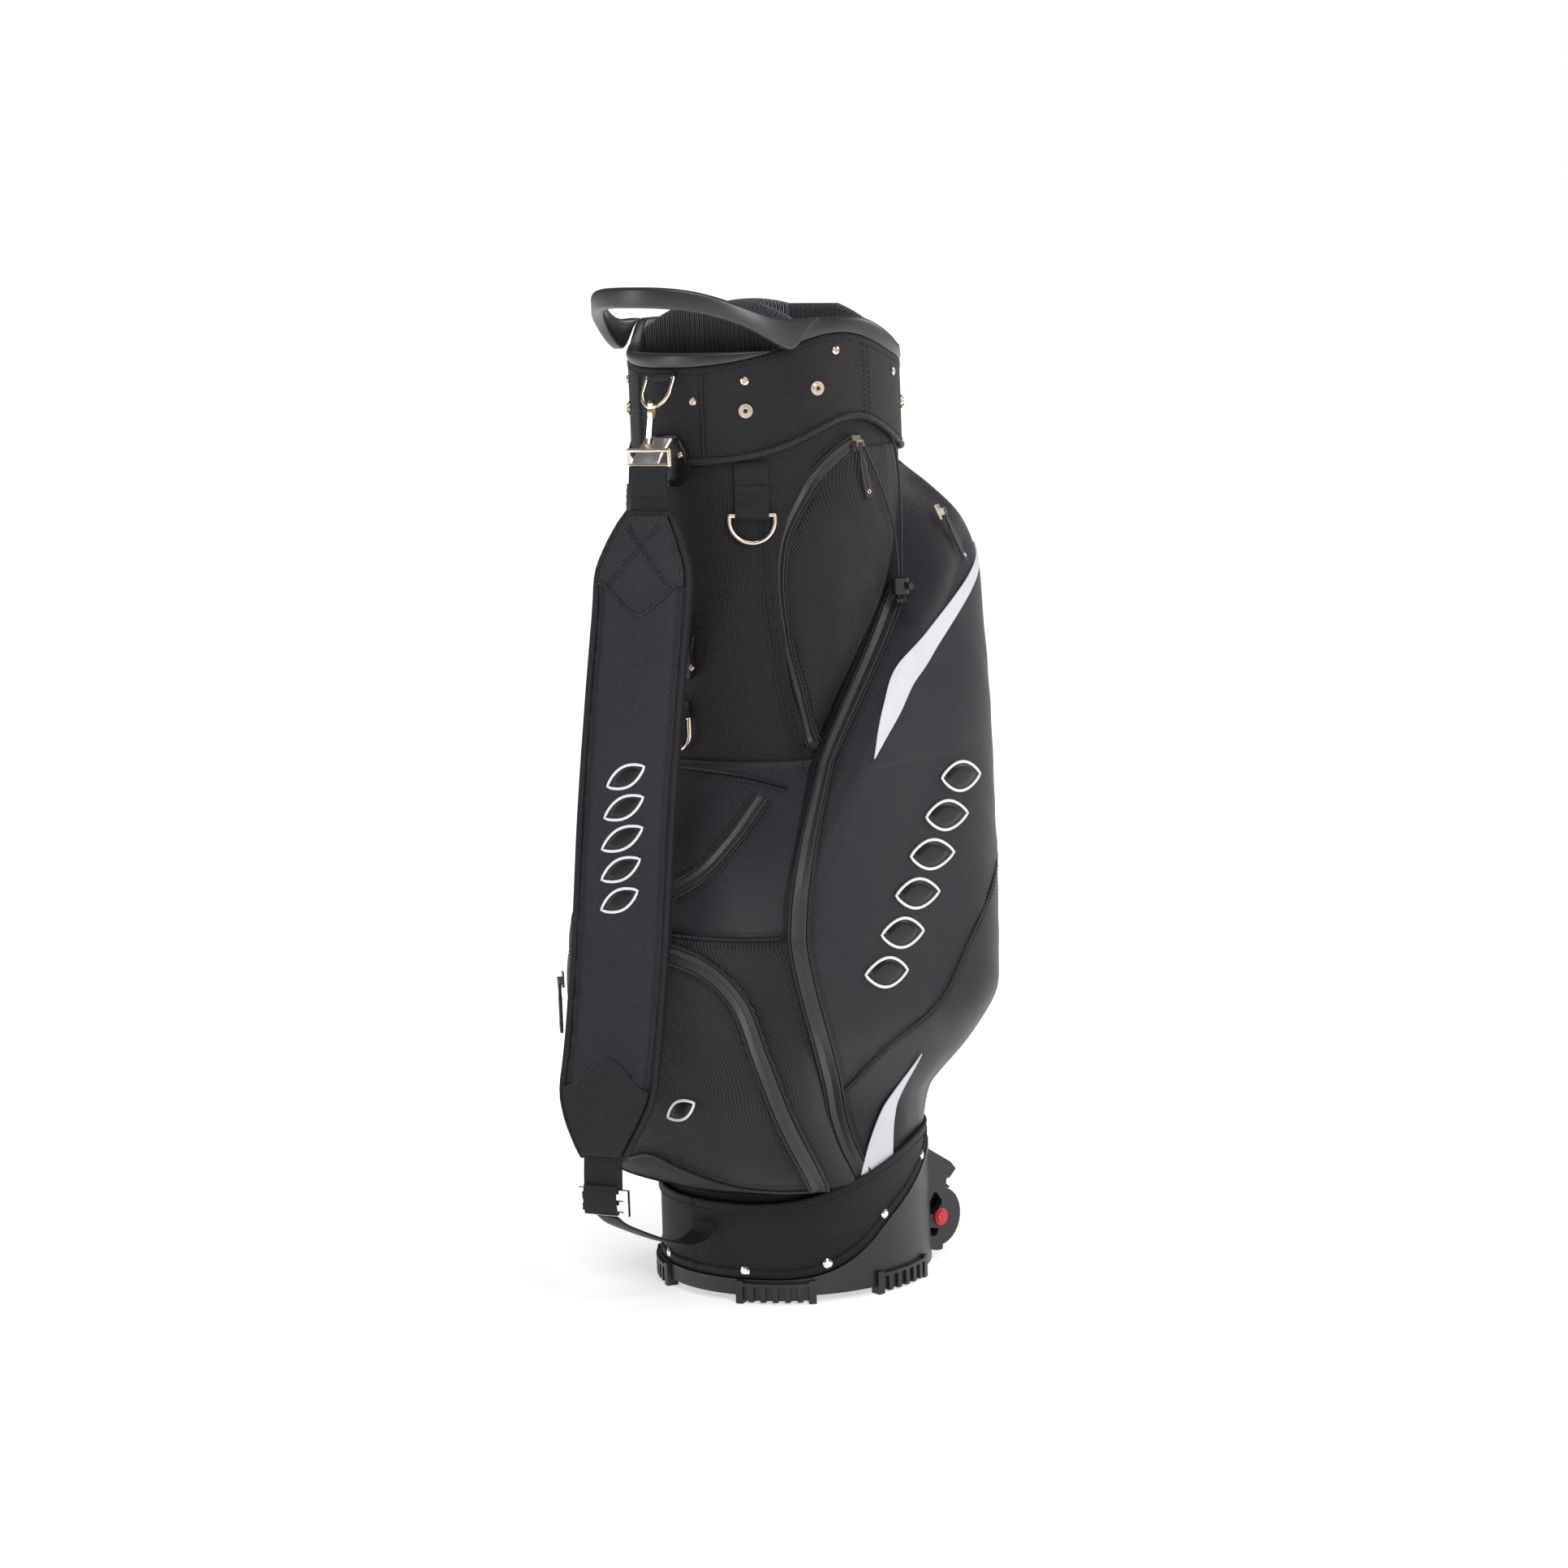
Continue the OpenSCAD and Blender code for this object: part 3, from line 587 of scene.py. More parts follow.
def fabric(name, dark, light, weave="twill", pitch=2.6, woven=True, sheen=0.03, depth=0.0008,
           roughness=(0.48, 0.7)):
    """Woven cloth: twill lines, a diamond dobby, a mesh of small holes or plain rib."""
    g = Graph(name)
    source, x, y, _ = g.coordinates(woven)
    p = pitch * MM
    if weave == "twill":
        height = g.wave(g.math("ADD", x, y), p)
    elif weave == "diamond":
        height = g.math("MULTIPLY", g.wave(g.math("ADD", x, y), p),
                        g.wave(g.math("SUBTRACT", x, y), p))
    elif weave == "dots":
        height = g.math("MULTIPLY", g.wave(x, p), g.wave(y, p * 0.7))
    else:
        height = g.wave(y, p)
    level = g.math("ADD", g.math("MULTIPLY", height, 0.5), 0.5)
    fibre = g.noise(source, 900, 2.0)
    cloud = g.noise(source, 14, 4.0)
    mixed = g.math("ADD", g.math("MULTIPLY", level, 0.55),
                   g.math("ADD", g.math("MULTIPLY", fibre, 0.25), g.math("MULTIPLY", cloud, 0.3)))
    g.colour(mixed, dark, light, 0.3, 0.85)
    g.rough(mixed, *roughness)
    g.bump(g.math("ADD", level, g.math("MULTIPLY", fibre, 0.3)), depth, 0.8)
    g.set(Sheen_Weight=sheen, Sheen_Roughness=0.4, Specular_IOR_Level=0.3)
    g.shader.inputs["Sheen Tint"].default_value = (0.75, 0.78, 0.9, 1)
    return g.material


def plastic(name, dark, light, roughness=(0.3, 0.45), grain=700, depth=0.0001, woven=False):
    """Moulded plastic or rubber with a fine grain and faint mottling."""
    g = Graph(name)
    source, _, _, _ = g.coordinates(woven)
    fine = g.noise(source, grain, 2.0)
    cloud = g.noise(source, 18, 4.0)
    g.colour(g.math("ADD", g.math("MULTIPLY", cloud, 0.7), g.math("MULTIPLY", fine, 0.3)),
             dark, light, 0.25, 0.8)
    g.rough(cloud, *roughness)
    g.bump(fine, depth, 0.35)
    return g.material


def metal(name, dark, light, roughness=(0.16, 0.32), scratch=260):
    """Plated or brushed metal with fine scratches and worn patches."""
    g = Graph(name)
    source, _, _, _ = g.coordinates(False)
    stretch = g.node("Mapping")
    stretch.inputs["Scale"].default_value = (1, 1, 7)
    g.link(source, stretch.inputs["Vector"])
    lines = g.noise(stretch.outputs[0], scratch, 3.0)
    cloud = g.noise(source, 40, 3.0)
    g.colour(cloud, dark, light, 0.3, 0.75)
    g.rough(g.math("ADD", g.math("MULTIPLY", lines, 0.6), g.math("MULTIPLY", cloud, 0.4)),
            *roughness)
    g.bump(lines, 0.00005, 0.25)
    g.set(Metallic=1.0)
    return g.material


BLACK, COAL = (0.002, 0.002, 0.003), (0.015, 0.014, 0.019)
MATERIALS = {
    "tube": fabric("tube_dobby", BLACK, (0.010, 0.010, 0.013), "diamond", 3.6),
    "twill": fabric("pocket_twill", BLACK, (0.021, 0.019, 0.020), "twill", 3.4, sheen=0.05,
                    depth=0.0011),
    "satin": fabric("satin_nylon", (0.006, 0.005, 0.008), COAL, "twill", 1.6,
                    sheen=0.05, depth=0.0003, roughness=(0.36, 0.52)),
    "band": fabric("collar_dobby", (0.003, 0.003, 0.004), (0.013, 0.012, 0.016), "diamond", 2.8),
    "jacquard": fabric("pad_jacquard", (0.004, 0.004, 0.007), (0.022, 0.022, 0.033), "dots", 3.6,
                       depth=0.001),
    "patch": fabric("pad_twill", BLACK, (0.022, 0.022, 0.025), "twill", 3.0),
    "binding": fabric("binding_tape", (0.004, 0.004, 0.005), (0.013, 0.013, 0.016), "rib", 1.6),
    "webbing": fabric("webbing", (0.004, 0.004, 0.005), (0.016, 0.016, 0.018), "twill", 2.2,
                      depth=0.0008),
    "zip": fabric("zip_tape", (0.016, 0.018, 0.019), (0.040, 0.043, 0.045), "rib", 1.3,
                  sheen=0.05, depth=0.0002, roughness=(0.26, 0.38)),
    "piping": fabric("piping_cord", (0.005, 0.005, 0.006), (0.02, 0.02, 0.024), "rib", 1.8,
                     roughness=(0.36, 0.48)),
    "thread": fabric("thread", (0.006, 0.006, 0.007), (0.03, 0.03, 0.033), "rib", 0.8,
                     woven=False, roughness=(0.4, 0.5)),
    "pale_thread": fabric("pale_thread", (0.55, 0.57, 0.57), (0.78, 0.8, 0.8), "rib", 0.9,
                          roughness=(0.4, 0.5)),
    "pile": fabric("divider_pile", (0.002, 0.002, 0.002), (0.02, 0.02, 0.02), "rib", 3.0,
                   sheen=0.3, depth=0.0016, roughness=(0.8, 0.95)),
    "lining": fabric("lining_rib", (0.003, 0.003, 0.004), (0.02, 0.02, 0.022), "dots", 3.0),
    "silver": fabric("silver_coat", (0.46, 0.46, 0.49), (0.62, 0.62, 0.65), "twill", 1.6,
                     sheen=0.05, depth=0.0001, roughness=(0.3, 0.42)),
    "motif": fabric("motif_fill", (0.003, 0.003, 0.004), (0.01, 0.01, 0.012), "rib", 1.2,
                    roughness=(0.3, 0.4)),
    "moulded": plastic("satin_moulding", (0.014, 0.016, 0.017), (0.026, 0.029, 0.030), (0.28, 0.4)),
    "base": plastic("base_moulding", (0.006, 0.006, 0.007), (0.012, 0.012, 0.013), (0.36, 0.5)),
    "gloss": plastic("gloss_moulding", (0.006, 0.006, 0.006), (0.012, 0.012, 0.013),
                     (0.1, 0.2), 300, 0.00003),
    "rubber": plastic("soft_rubber", (0.006, 0.006, 0.006), (0.013, 0.013, 0.014), (0.45, 0.6)),
    "tyre": plastic("tyre_rubber", (0.03, 0.03, 0.031), (0.055, 0.055, 0.057), (0.55, 0.75), 500,
                    0.0002),
    "red": plastic("red_cap", (0.42, 0.008, 0.015), (0.62, 0.014, 0.025), (0.18, 0.3), 300,
                   0.00003),
    "brass": metal("pale_brass", (0.62, 0.52, 0.38), (0.86, 0.76, 0.60)),
    "chrome": metal("polished_chrome", (0.70, 0.70, 0.70), (0.86, 0.86, 0.87), (0.08, 0.2)),
    "steel": metal("plain_steel", (0.42, 0.42, 0.43), (0.6, 0.6, 0.61), (0.3, 0.45)),
    "silver_handle": metal("satin_aluminium", (0.66, 0.67, 0.68), (0.82, 0.83, 0.84), (0.22, 0.36)),
    "foam": plastic("closed_foam", (0.012, 0.012, 0.012), (0.03, 0.03, 0.03), (0.8, 0.95), 180,
                    0.0008),
}


# ---------------------------------------------------------------- drawcord

CORD_D = 2.4
NEAR_ROUTE = [[121, -6, 774], [124, -6, 771], [129, -4, 760], [136, 0, 740], [143, 5, 715],
              [147.5, 9, 690], [149.4, 10.3, 665], [149.7, 10.5, 650], [149.7, 10.5, 640],
              [149.7, 10.5, 633], [149.6, 10.5, 627]]
BACK_ROUTE = [[114, 40, 770], [117, 41, 767], [122, 40, 757], [131, 34, 738], [140, 26, 714],
              [147, 19, 690], [149.4, 15, 665], [149.7, 14.5, 650], [149.7, 14.5, 640],
              [149.7, 14.5, 633], [149.8, 14.3, 627]]


def bead(name, place, r):
    """A knot's tight bead: a fat ring wound on itself."""
    rails = []
    for i in range(24):
        a = 360 * i / 24
        out = Vector((cos(a), sin(a), 0.35 * cos(3 * a)))
        rails.append((place + out * r * 0.45, out.normalized(), UP))
    return finish_piece(sweep(name, rails, round_profile(r * 0.62, 10), closed=True),
                        "piping")


def make_cord(name, route, node):
    """A round elastic cord through its route's points, with a knot at its lower end."""
    points = [Vector(p) + Vector((0, TUBE_Y, 0)) for p in route]
    data = bpy.data.curves.new(name, "CURVE")
    data.dimensions = "3D"
    data.bevel_depth = CORD_D / 2 * MM
    data.bevel_resolution = 3
    line = data.splines.new("POLY")
    steps = 40
    path = [spline(points, i / steps) for i in range(steps + 1)]
    line.points.add(steps)
    for spot, p in zip(line.points, path):
        spot.co = (*(p * MM), 1)
    data.use_fill_caps = True
    cord = bpy.data.objects.new(name, data)
    bpy.context.scene.collection.objects.link(cord)
    knot = bead(name + "_knot", path[-1] + Vector((0, 0, 0.5)), 3.2)
    finish_piece(cord, "piping", replaces=(node,))
    length = sum((b - a).length for a, b in zip(path, path[1:])) * MM


make_camera()
make_cord("drawcord_near", NEAR_ROUTE, "cord_near")
make_cord("drawcord_back", BACK_ROUTE, "cord_back")
make_studio()


# ---------------------------------------------------------------- tube and pockets

def make_tube():
    low, high = 84, 833

    def outer(u, v):
        z = low + (high - low) * v
        theta = 360 * u
        return at(theta, TUBE_R + 0.3 + creases(theta, z, 0.35), z)

    tube = grid("tube_fabric", 180, 120, outer, closed=True, thick=3.0)
    finish_piece(tube, "tube", replaces=("tube_front", "tube_back"))


def make_lining():
    """The ribbed padding round the mouth, inside the rim."""
    ribs, low, high = 140, 640, 842

    def inner(u, v):
        theta = -360 * u
        rib = 0.5 * math.cos(2 * math.pi * u * ribs)
        z = low + (min(high, rim_high(theta) - 9) - low) * v
        return at(theta, TUBE_R - 7.2 + rib, z)

    lining = grid("mouth_lining", ribs * 4, 12, inner, closed=True, thick=0.8)
    finish_piece(lining, "lining")


BALL_SEAM = [[0, 138], [15, 127], [32, 115], [54, 110], [75, 110]]


def ball_low(theta):
    return smooth(abs(theta), BALL_SEAM)


def make_front_pockets():
    def edges(z):
        return side_edge(max(z, FRONT_LOW)) + 1.5

    def ball(u, v):
        rim = 0.09
        t = (u - 0.5) * 2
        theta_low = t * edges(FRONT_LOW)
        if v < rim:
            z = FRONT_LOW - 4 + 6 * roll(v / rim)
            r = front_skin(theta_low, FRONT_LOW + 4)
            inside = TUBE_R + CLOTH
            return at(theta_low, inside + (r - inside) * roll(v / rim), z)
        z = FRONT_LOW + 2 + (FRONT_SEAM - FRONT_LOW - 2) * (v - rim) / (1 - rim)
        theta = t * edges(z)
        crease = creases(theta, z, 1.1) * min(1, (1 - abs(t)) * 6)
        return at(theta, front_skin(theta, z) + crease, z)

    finish_piece(grid("ball_pocket_fabric", 130, 110, ball), "twill",
                 replaces=("ball_pocket",))

    def small(u, v):
        z = FRONT_SEAM + (FRONT_TOP + 3 - FRONT_SEAM) * v
        t = (u - 0.5) * 2
        theta = t * edges(z)
        crease = creases(theta, z + 300, 0.9) * min(1, (1 - abs(t)) * 6, (1 - v) * 5)
        return at(theta, front_skin(theta, min(z, FRONT_TOP - 1)) + crease, z)

    finish_piece(grid("small_pocket_fabric", 130, 60, small), "satin",
                 replaces=("small_pocket",))


PANEL_SEAM = [(131, 377), (115, 320), (101, 268), (79, 233), (63, 191)]


def seam_height(theta):
    """Height of the lower panel's seam on the side pocket."""
    rows = [[t, z] for t, z in reversed(PANEL_SEAM)]
    return smooth(theta, [[40, 160], *rows, [150, 425]])


def make_side_pockets():
    def place(u, v):
        z = SIDE_LOW + (SIDE_HIGH - SIDE_LOW) * v
        edge = side_edge(z)
        theta = edge - 0.4 + (SIDE_BACK - edge + 0.4) * u ** 0.85
        calm = min(1, u * 8, (1 - u) * 8)
        groove = 1.3 * math.exp(-((z - seam_height(theta)) / 3.2) ** 2)
        crease = creases(theta, z + 90, 1.5) * calm
        return at(theta, side_skin(max(theta, edge), z) + crease - groove, z)

    near = grid("side_pocket_near_fabric", 130, 230, place)
    far = mirrored(near, "side_pocket_far_fabric")
    finish_piece(near, "satin", replaces=("side_pocket_near",))
    finish_piece(far, "satin", replaces=("side_pocket_far",))


def make_valuables():
    def place(u, v):
        z = VALUABLES_LOW + (VALUABLES_HIGH - VALUABLES_LOW) * v
        low, high = smooth(z, VALUABLES_EDGE), valuables_back(z)
        theta = low + (high - low) * u
        calm = min(1, u * 5, (1 - u) * 5, v * 5, (1 - v) * 5)
        crease = creases(theta * 1.3, z * 0.8 + 40, 1.4) * calm
        return at(theta, max(valuables_skin(theta, z), TUBE_R + 1.2) + crease, z)

    near = grid("valuables_near_fabric", 70, 110, place)
    far = mirrored(near, "valuables_far_fabric")
    finish_piece(near, "twill", replaces=("valuables_pocket_near",))
    finish_piece(far, "twill", replaces=("valuables_pocket_far",))


# ---------------------------------------------------------------- zips, piping and seams

ZIP_A = [(104.5, 639), (90.5, 594), (75.5, 541), (63.5, 489), (54.5, 428), (50, 364), (50.5, 315),
         (57, 230), (68, 150), (77, 110)]
ZIP_B = [(86, 767), (74, 752), (64, 731), (53, 690), (50, 648), (52, 598), (57, 545), (62, 500)]
ZIP_C = [(0, 334), (16, 328), (26, 317), (34, 289), (39, 238), (45, 178), (54, 112)]
ZIP_SMALL = [(12, 382), (22, 400), (30, 425), (36, 448), (40, 462)]
SMALL_TOP = [(-49, 470), (-30, 480), (0, 484), (30, 480), (49, 470)]
TUBE_SEAM = [(44, 716), (43.5, 650), (46, 590), (51, 530), (57, 478)]
ZIP_PROFILE = [(-6.6, -1.5), (-6.6, 0.9), (-6.0, 1.5), (-5.2, 1.5), (-4.7, 0.9), (-0.8, 1.05),
               (-0.4, 0.35), (0.4, 0.35), (0.8, 1.05), (4.7, 0.9), (5.2, 1.5), (6.0, 1.5),
               (6.6, 0.9), (6.6, -1.5)]
PIPE_R = 1.7


def flip(path):
    return [(-theta, z) for theta, z in path]


def zip_track(name, path, width=1.0, steps=120):
    """A zip's tape with piping and stitching along both of its edges, on each side."""
    for side, route in (("near", path), ("far", flip(path))):
        rails = rails_on(route, 0.6, steps)
        tape = sweep(f"{name}_{side}_tape", rails, [(s * width, u) for s, u in ZIP_PROFILE])
        finish_piece(tape, "zip")
        rows = []
        for k in (-1, 1):
            gap = 6.6 * width + PIPE_R
            pipe = sweep(f"{name}_{side}_piping_{'ab'[k > 0]}",
                         rails_on(route, 0.5, steps, k * gap), round_profile(PIPE_R))
            finish_piece(pipe, "piping")
            rows.append(rails_on(route, 0.4, steps, k * (gap + 5)))
        finish_piece(stitches(f"{name}_{side}_stitches", rows), "thread")


def piped_seam(name, path, r=1.3, steps=90, material="piping", gap=4.5):
    for side, route in (("near", path), ("far", flip(path))):
        pipe = sweep(f"{name}_{side}", rails_on(route, 0.2, steps), round_profile(r))
        finish_piece(pipe, material)
        rows = [rails_on(route, 0.4, steps, k * gap) for k in (-1, 1)]
        finish_piece(stitches(f"{name}_{side}_stitches", rows), "thread")


def make_seams():
    zip_track("side_zip", ZIP_A)
    zip_track("valuables_zip", ZIP_B, 0.75)
    zip_track("ball_zip", ZIP_C, 0.95)
    zip_track("small_zip", ZIP_SMALL, 0.8, 50)
    piped_seam("panel_seam", PANEL_SEAM, 0.8)
    piped_seam("tube_seam", TUBE_SEAM, 1.0)
    top = sweep("small_pocket_piping", rails_on(SMALL_TOP, 1.0), round_profile(1.8))
    finish_piece(top, "piping")
    low = [(t, ball_low(t) + 3) for t in range(-50, 51, 10)]
    hem = sweep("ball_pocket_hem", rails_on(low, 0.8), round_profile(1.8))
    finish_piece(hem, "piping")
    mid = [(t, FRONT_SEAM) for t in range(-45, 46, 9)]
    seam = sweep("front_seam_piping", rails_on(mid, 0.8), round_profile(1.6))
    finish_piece(seam, "piping")
    rows = [rails_on([(t, z + dz) for t, z in path], 0.5, 80)
            for path, dz in ((SMALL_TOP, -5), (mid, 6), (mid, -6), (low, 6))]
    finish_piece(stitches("front_stitches", rows), "thread")


# ---------------------------------------------------------------- silver stripes and motif

UPPER_STRIPE = [(137, 664, 4), (123, 637, 6), (110, 608, 8), (98, 580, 10), (90, 560, 10.5),
                (84, 535, 8.5), (79.5, 515, 5), (75.5, 494, 0.4)]
LOWER_STRIPE = [(98, 218, 0.4), (95, 196, 4), (92, 174, 8), (89, 152, 12), (86.5, 130, 16),
                (84.5, 108, 19)]


def stripe(name, rows, lift=1.5):
    """A coated stripe that widens and narrows along the pocket."""
    steps = 60
    path = [(t, z) for t, z, _ in rows]
    widths = [(w, 0) for _, _, w in rows]
    for side, route in (("near", path), ("far", flip(path))):
        rails = rails_on(route, lift, steps)

        def shape(t):
            w = spline(widths, t)[0]
            return [(-w, -0.9), (-w, 0.15), (-w + 0.3, 0.3), (w - 0.3, 0.3), (w, 0.15), (w, -0.9)]

        finish_piece(sweep(f"{name}_{side}", rails, shape), "silver")


def leaf(length, width, n=18):
    """Outline of a slanted leaf, in millimetres about its middle."""
    half = [(length * (i / n - 0.5), width * math.sin(math.pi * i / n) ** 0.8)
            for i in range(n + 1)]
    return half + [(x, -y) for x, y in reversed(half[1:-1])]


OUTLINE_R, MOTIF_LIFT, LEAF_SLANT = 1.4, 0.9, 62


def motif_on(name, place, count, pitch, length, width):
    """A row of outlined leaves; place(s, t) gives (point, normal) at s along and t across."""
    edge_points, edge_faces, fill_points, fill_faces = [], [], [], []
    sides = 6
    for k in range(count):
        from_middle = k - (count - 1) / 2
        size = 1 - 0.05 * abs(from_middle)
        middle = (from_middle * pitch, 0)
        ring = []
        for x, y in leaf(length * size, width):
            s = middle[0] + x * cos(LEAF_SLANT) - y * sin(LEAF_SLANT)
            t = x * sin(LEAF_SLANT) + y * cos(LEAF_SLANT)
            ring.append((s, t))
        n = len(ring)
        base = len(fill_points)
        for level, lift in ((1.0, MOTIF_LIFT), (0.5, 1.5), (1.0, -0.6)):
            for s, t in ring:
                p, up = place(middle[0] + (s - middle[0]) * level, t * level)
                fill_points.append(p + up * lift)
        p, up = place(*middle)
        fill_points += [p + up * 1.6, p - up * 0.6]
        top, under = base + 3 * n, base + 3 * n + 1
        for i in range(n):
            j = (i + 1) % n
            fill_faces += [(base + i, base + j, base + n + j, base + n + i),
                           (base + n + i, base + n + j, top),
                           (base + j, base + i, base + 2 * n + i, base + 2 * n + j),
                           (base + 2 * n + j, base + 2 * n + i, under)]
        start = len(edge_points)
        for i, spot in enumerate(ring):
            p, up = place(*spot)
            before, _ = place(*ring[i - 1])
            after, _ = place(*ring[(i + 1) % n])
            along = (after - before).normalized()
            side = along.cross(up).normalized()
            for s, u in round_profile(OUTLINE_R, sides):
                edge_points.append(p + up * (MOTIF_LIFT + u) + side * s)
        edge_faces += tube_faces(n, sides, closed=True, start=start)
    outline = make_mesh(name + "_outline", edge_points, edge_faces)
    fill = make_mesh(name + "_fill", fill_points, fill_faces)
    for obj, material in ((outline, "pale_thread"), (fill, "motif")):
        finish_piece(obj, material)


def pocket_spot(theta0, z0, lean, sign=1):
    """place() for a motif on the pockets, s running up and leaning back by lean degrees."""
    def spot(theta, z):
        return at(theta * sign, skin(theta, z), z)

    def place(s, t):
        r = skin(theta0, z0)
        z = z0 + s * cos(lean) - t * sin(lean)
        theta = theta0 + math.degrees((s * sin(lean) + t * cos(lean)) / r)
        right, left = spot(theta + 1, z), spot(theta - 1, z)
        normal = (right - left).cross(spot(theta, z + 3) - spot(theta, z - 3))
        return spot(theta, z), normal.normalized() * sign
    return place


def make_marks():
    stripe("upper_stripe", UPPER_STRIPE)
    stripe("lower_stripe", LOWER_STRIPE)
    motif_on("near_motif", pocket_spot(95, 384, 32), 6, 38, 56, 13)
    motif_on("far_motif", pocket_spot(95, 384, 32, -1), 6, 38, 56, 13)
    motif_on("front_motif", pocket_spot(15, 190, 0), 1, 20, 36, 8)


# ---------------------------------------------------------------- cuff and collar

def make_cuff():
    def place(u, v):
        theta = 360 * u
        low, high = cuff_low(theta) + 1, cuff_high(theta) - 1
        z = low + (high - low) * v
        return at(theta, TUBE_R + 5.4 + creases(theta, z, 0.4), z)

    finish_piece(grid("cuff_fabric", 160, 16, place, closed=True, thick=2.0), "band",
                 replaces=("base_cuff",))
    r = TUBE_R + 5.9
    edges = (("low", lambda t: cuff_low(t) + 4.5, 8.0), ("high", lambda t: cuff_high(t) - 5, 10.0))
    for end, height, width in edges:
        tape = sweep(f"cuff_binding_{end}", round_rails(r, height)[:-1], box_profile(width, 1.8),
                     closed=True)
        finish_piece(tape, "binding")
    rows = [round_rails(r + 0.9, lambda t, h=h, d=d: h(t) + d)
            for _, h, w in edges for d in (-w / 2 + 1.6, w / 2 - 1.6)]
    finish_piece(stitches("cuff_stitches", rows), "thread")


BAND_FACE = TUBE_R + 4.3


def make_collar():
    def place(u, v):
        theta = 360 * u
        low, high = band_low(theta) + 1.5, band_high(theta) - 0.4
        z = low + (high - low) * v
        return at(theta, TUBE_R + 4.1 + creases(theta, z, 0.35), z)

    finish_piece(grid("collar_fabric", 180, 20, place, closed=True, thick=3.2), "band",
                 replaces=("collar_band",))
    steps = 360

    def puckers(t):
        return round_profile(3.0 + 0.35 * noise.noise(Vector((t * 90, 0, 7)))
                             + 0.25 * math.cos(t * steps * 0.9 * math.pi), 10)

    low = round_rails(TUBE_R + 3.4, lambda t: band_low(t) + 1, steps=steps)[:-1]
    hem = sweep("collar_hem", low, puckers, closed=True)
    finish_piece(hem, "satin")
    rows = [round_rails(BAND_FACE, lambda t: band_low(t) + 6),
            round_rails(BAND_FACE, lambda t: band_high(t) - 6)]
    for s in (-1, 1):
        for theta in (17.6, 20.6, 92, 95):
            z0, z1 = band_low(theta) + 4, band_high(theta) - 4
            rows.append(rails_on([(s * theta, z0), (s * theta, (z0 + z1) / 2), (s * theta, z1)],
                                 0, 12, surface=lambda t, z: BAND_FACE))
    finish_piece(stitches("collar_stitches", rows), "thread")
    for s, side in ((1, "near"), (-1, "far")):
        welt = rails_on([(s * 19.2, band_low(19.2) + 2), (s * 19.2, 790), (s * 19.2, 830)], 0, 20,
                        surface=lambda t, z: TUBE_R + 4.2)
        finish_piece(sweep(f"collar_welt_{side}", welt, round_profile(1.2)), "piping")


SNAPS = [(38, 799), (68, 816), (132, 796)]


def make_snap_cores():
    """The dark sockets in the middle of the snap studs."""
    points, faces, sides = [], [], 20
    for theta, z in SNAPS + [(-t, h) for t, h in SNAPS]:
        out, across = outward(theta), sideways(theta)
        centre = at(theta, BAND_FACE, z)
        start = len(points)
        for r, lift in ((1.9, 1.5), (1.9, 1.9), (1.3, 2.2)):
            points += [centre + out * lift + across * r * cos(360 * k / sides)
                       + Vector((0, 0, r * sin(360 * k / sides))) for k in range(sides)]
        faces += tube_faces(3, sides, start=start)
        faces += [tuple(start + k for k in reversed(range(sides))),
                  tuple(start + 2 * sides + k for k in range(sides))]
    finish_piece(make_mesh("snap_cores", points, faces), "gloss")


# ---------------------------------------------------------------- moulded rim and loop

COLLAR_R = 123
LOOP_Y, LOOP_REACH, LOOP_H, LOOP_T = -30, 135, 18, 13


def rim_section(theta):
    """Section of the rim at an angle, as (radius, height), going round it."""
    top = rim_high(theta)
    low = band_high(theta) + 0.4
    inner = TUBE_R - 5.8
    lip = min(4.2, (top - low) / 2.4)
    outer = [(TUBE_R - 0.8, low), (COLLAR_R - 0.8, low), (COLLAR_R - 0.2, low + 1.2),
             (COLLAR_R - 0.6, top - lip)]
    roll_points = [(COLLAR_R - 0.6 - lip + lip * cos(a), top - lip + lip * sin(a))
                   for a in (25, 50, 75, 90)]
    inside = [(inner + 3, top - 0.2), (inner + 0.8, top - 1.6), (inner, top - 4),
              (inner, 806), (inner + 2.6, 806), (inner + 2.6, 833.6), (TUBE_R - 0.8, 834.6)]
    return outer + roll_points + inside


def make_rim():
    steps = 180
    n = len(rim_section(0))
    points, uvs = [], []
    for i in range(steps):
        theta = 360 * i / steps
        for r, z in rim_section(theta):
            points.append(at(theta, r, z))
            uvs.append((theta * 2, z))
    faces = tube_faces(steps, n, closed=True, flipped=True)
    rim = make_mesh("collar_rim_moulding", points, faces, uvs)
    finish_piece(rim, "moulded", replaces=("collar_rim",))


def loop_high(y):
    return RIM_FRONT + SHOULDER_RISE + 32 * ease((-70 - y) / 100)


def loop_low(y):
    return max(rim_high_at(y) + 0.2, loop_high(y) - LOOP_H - 12 * ease((y + 120) / 60))


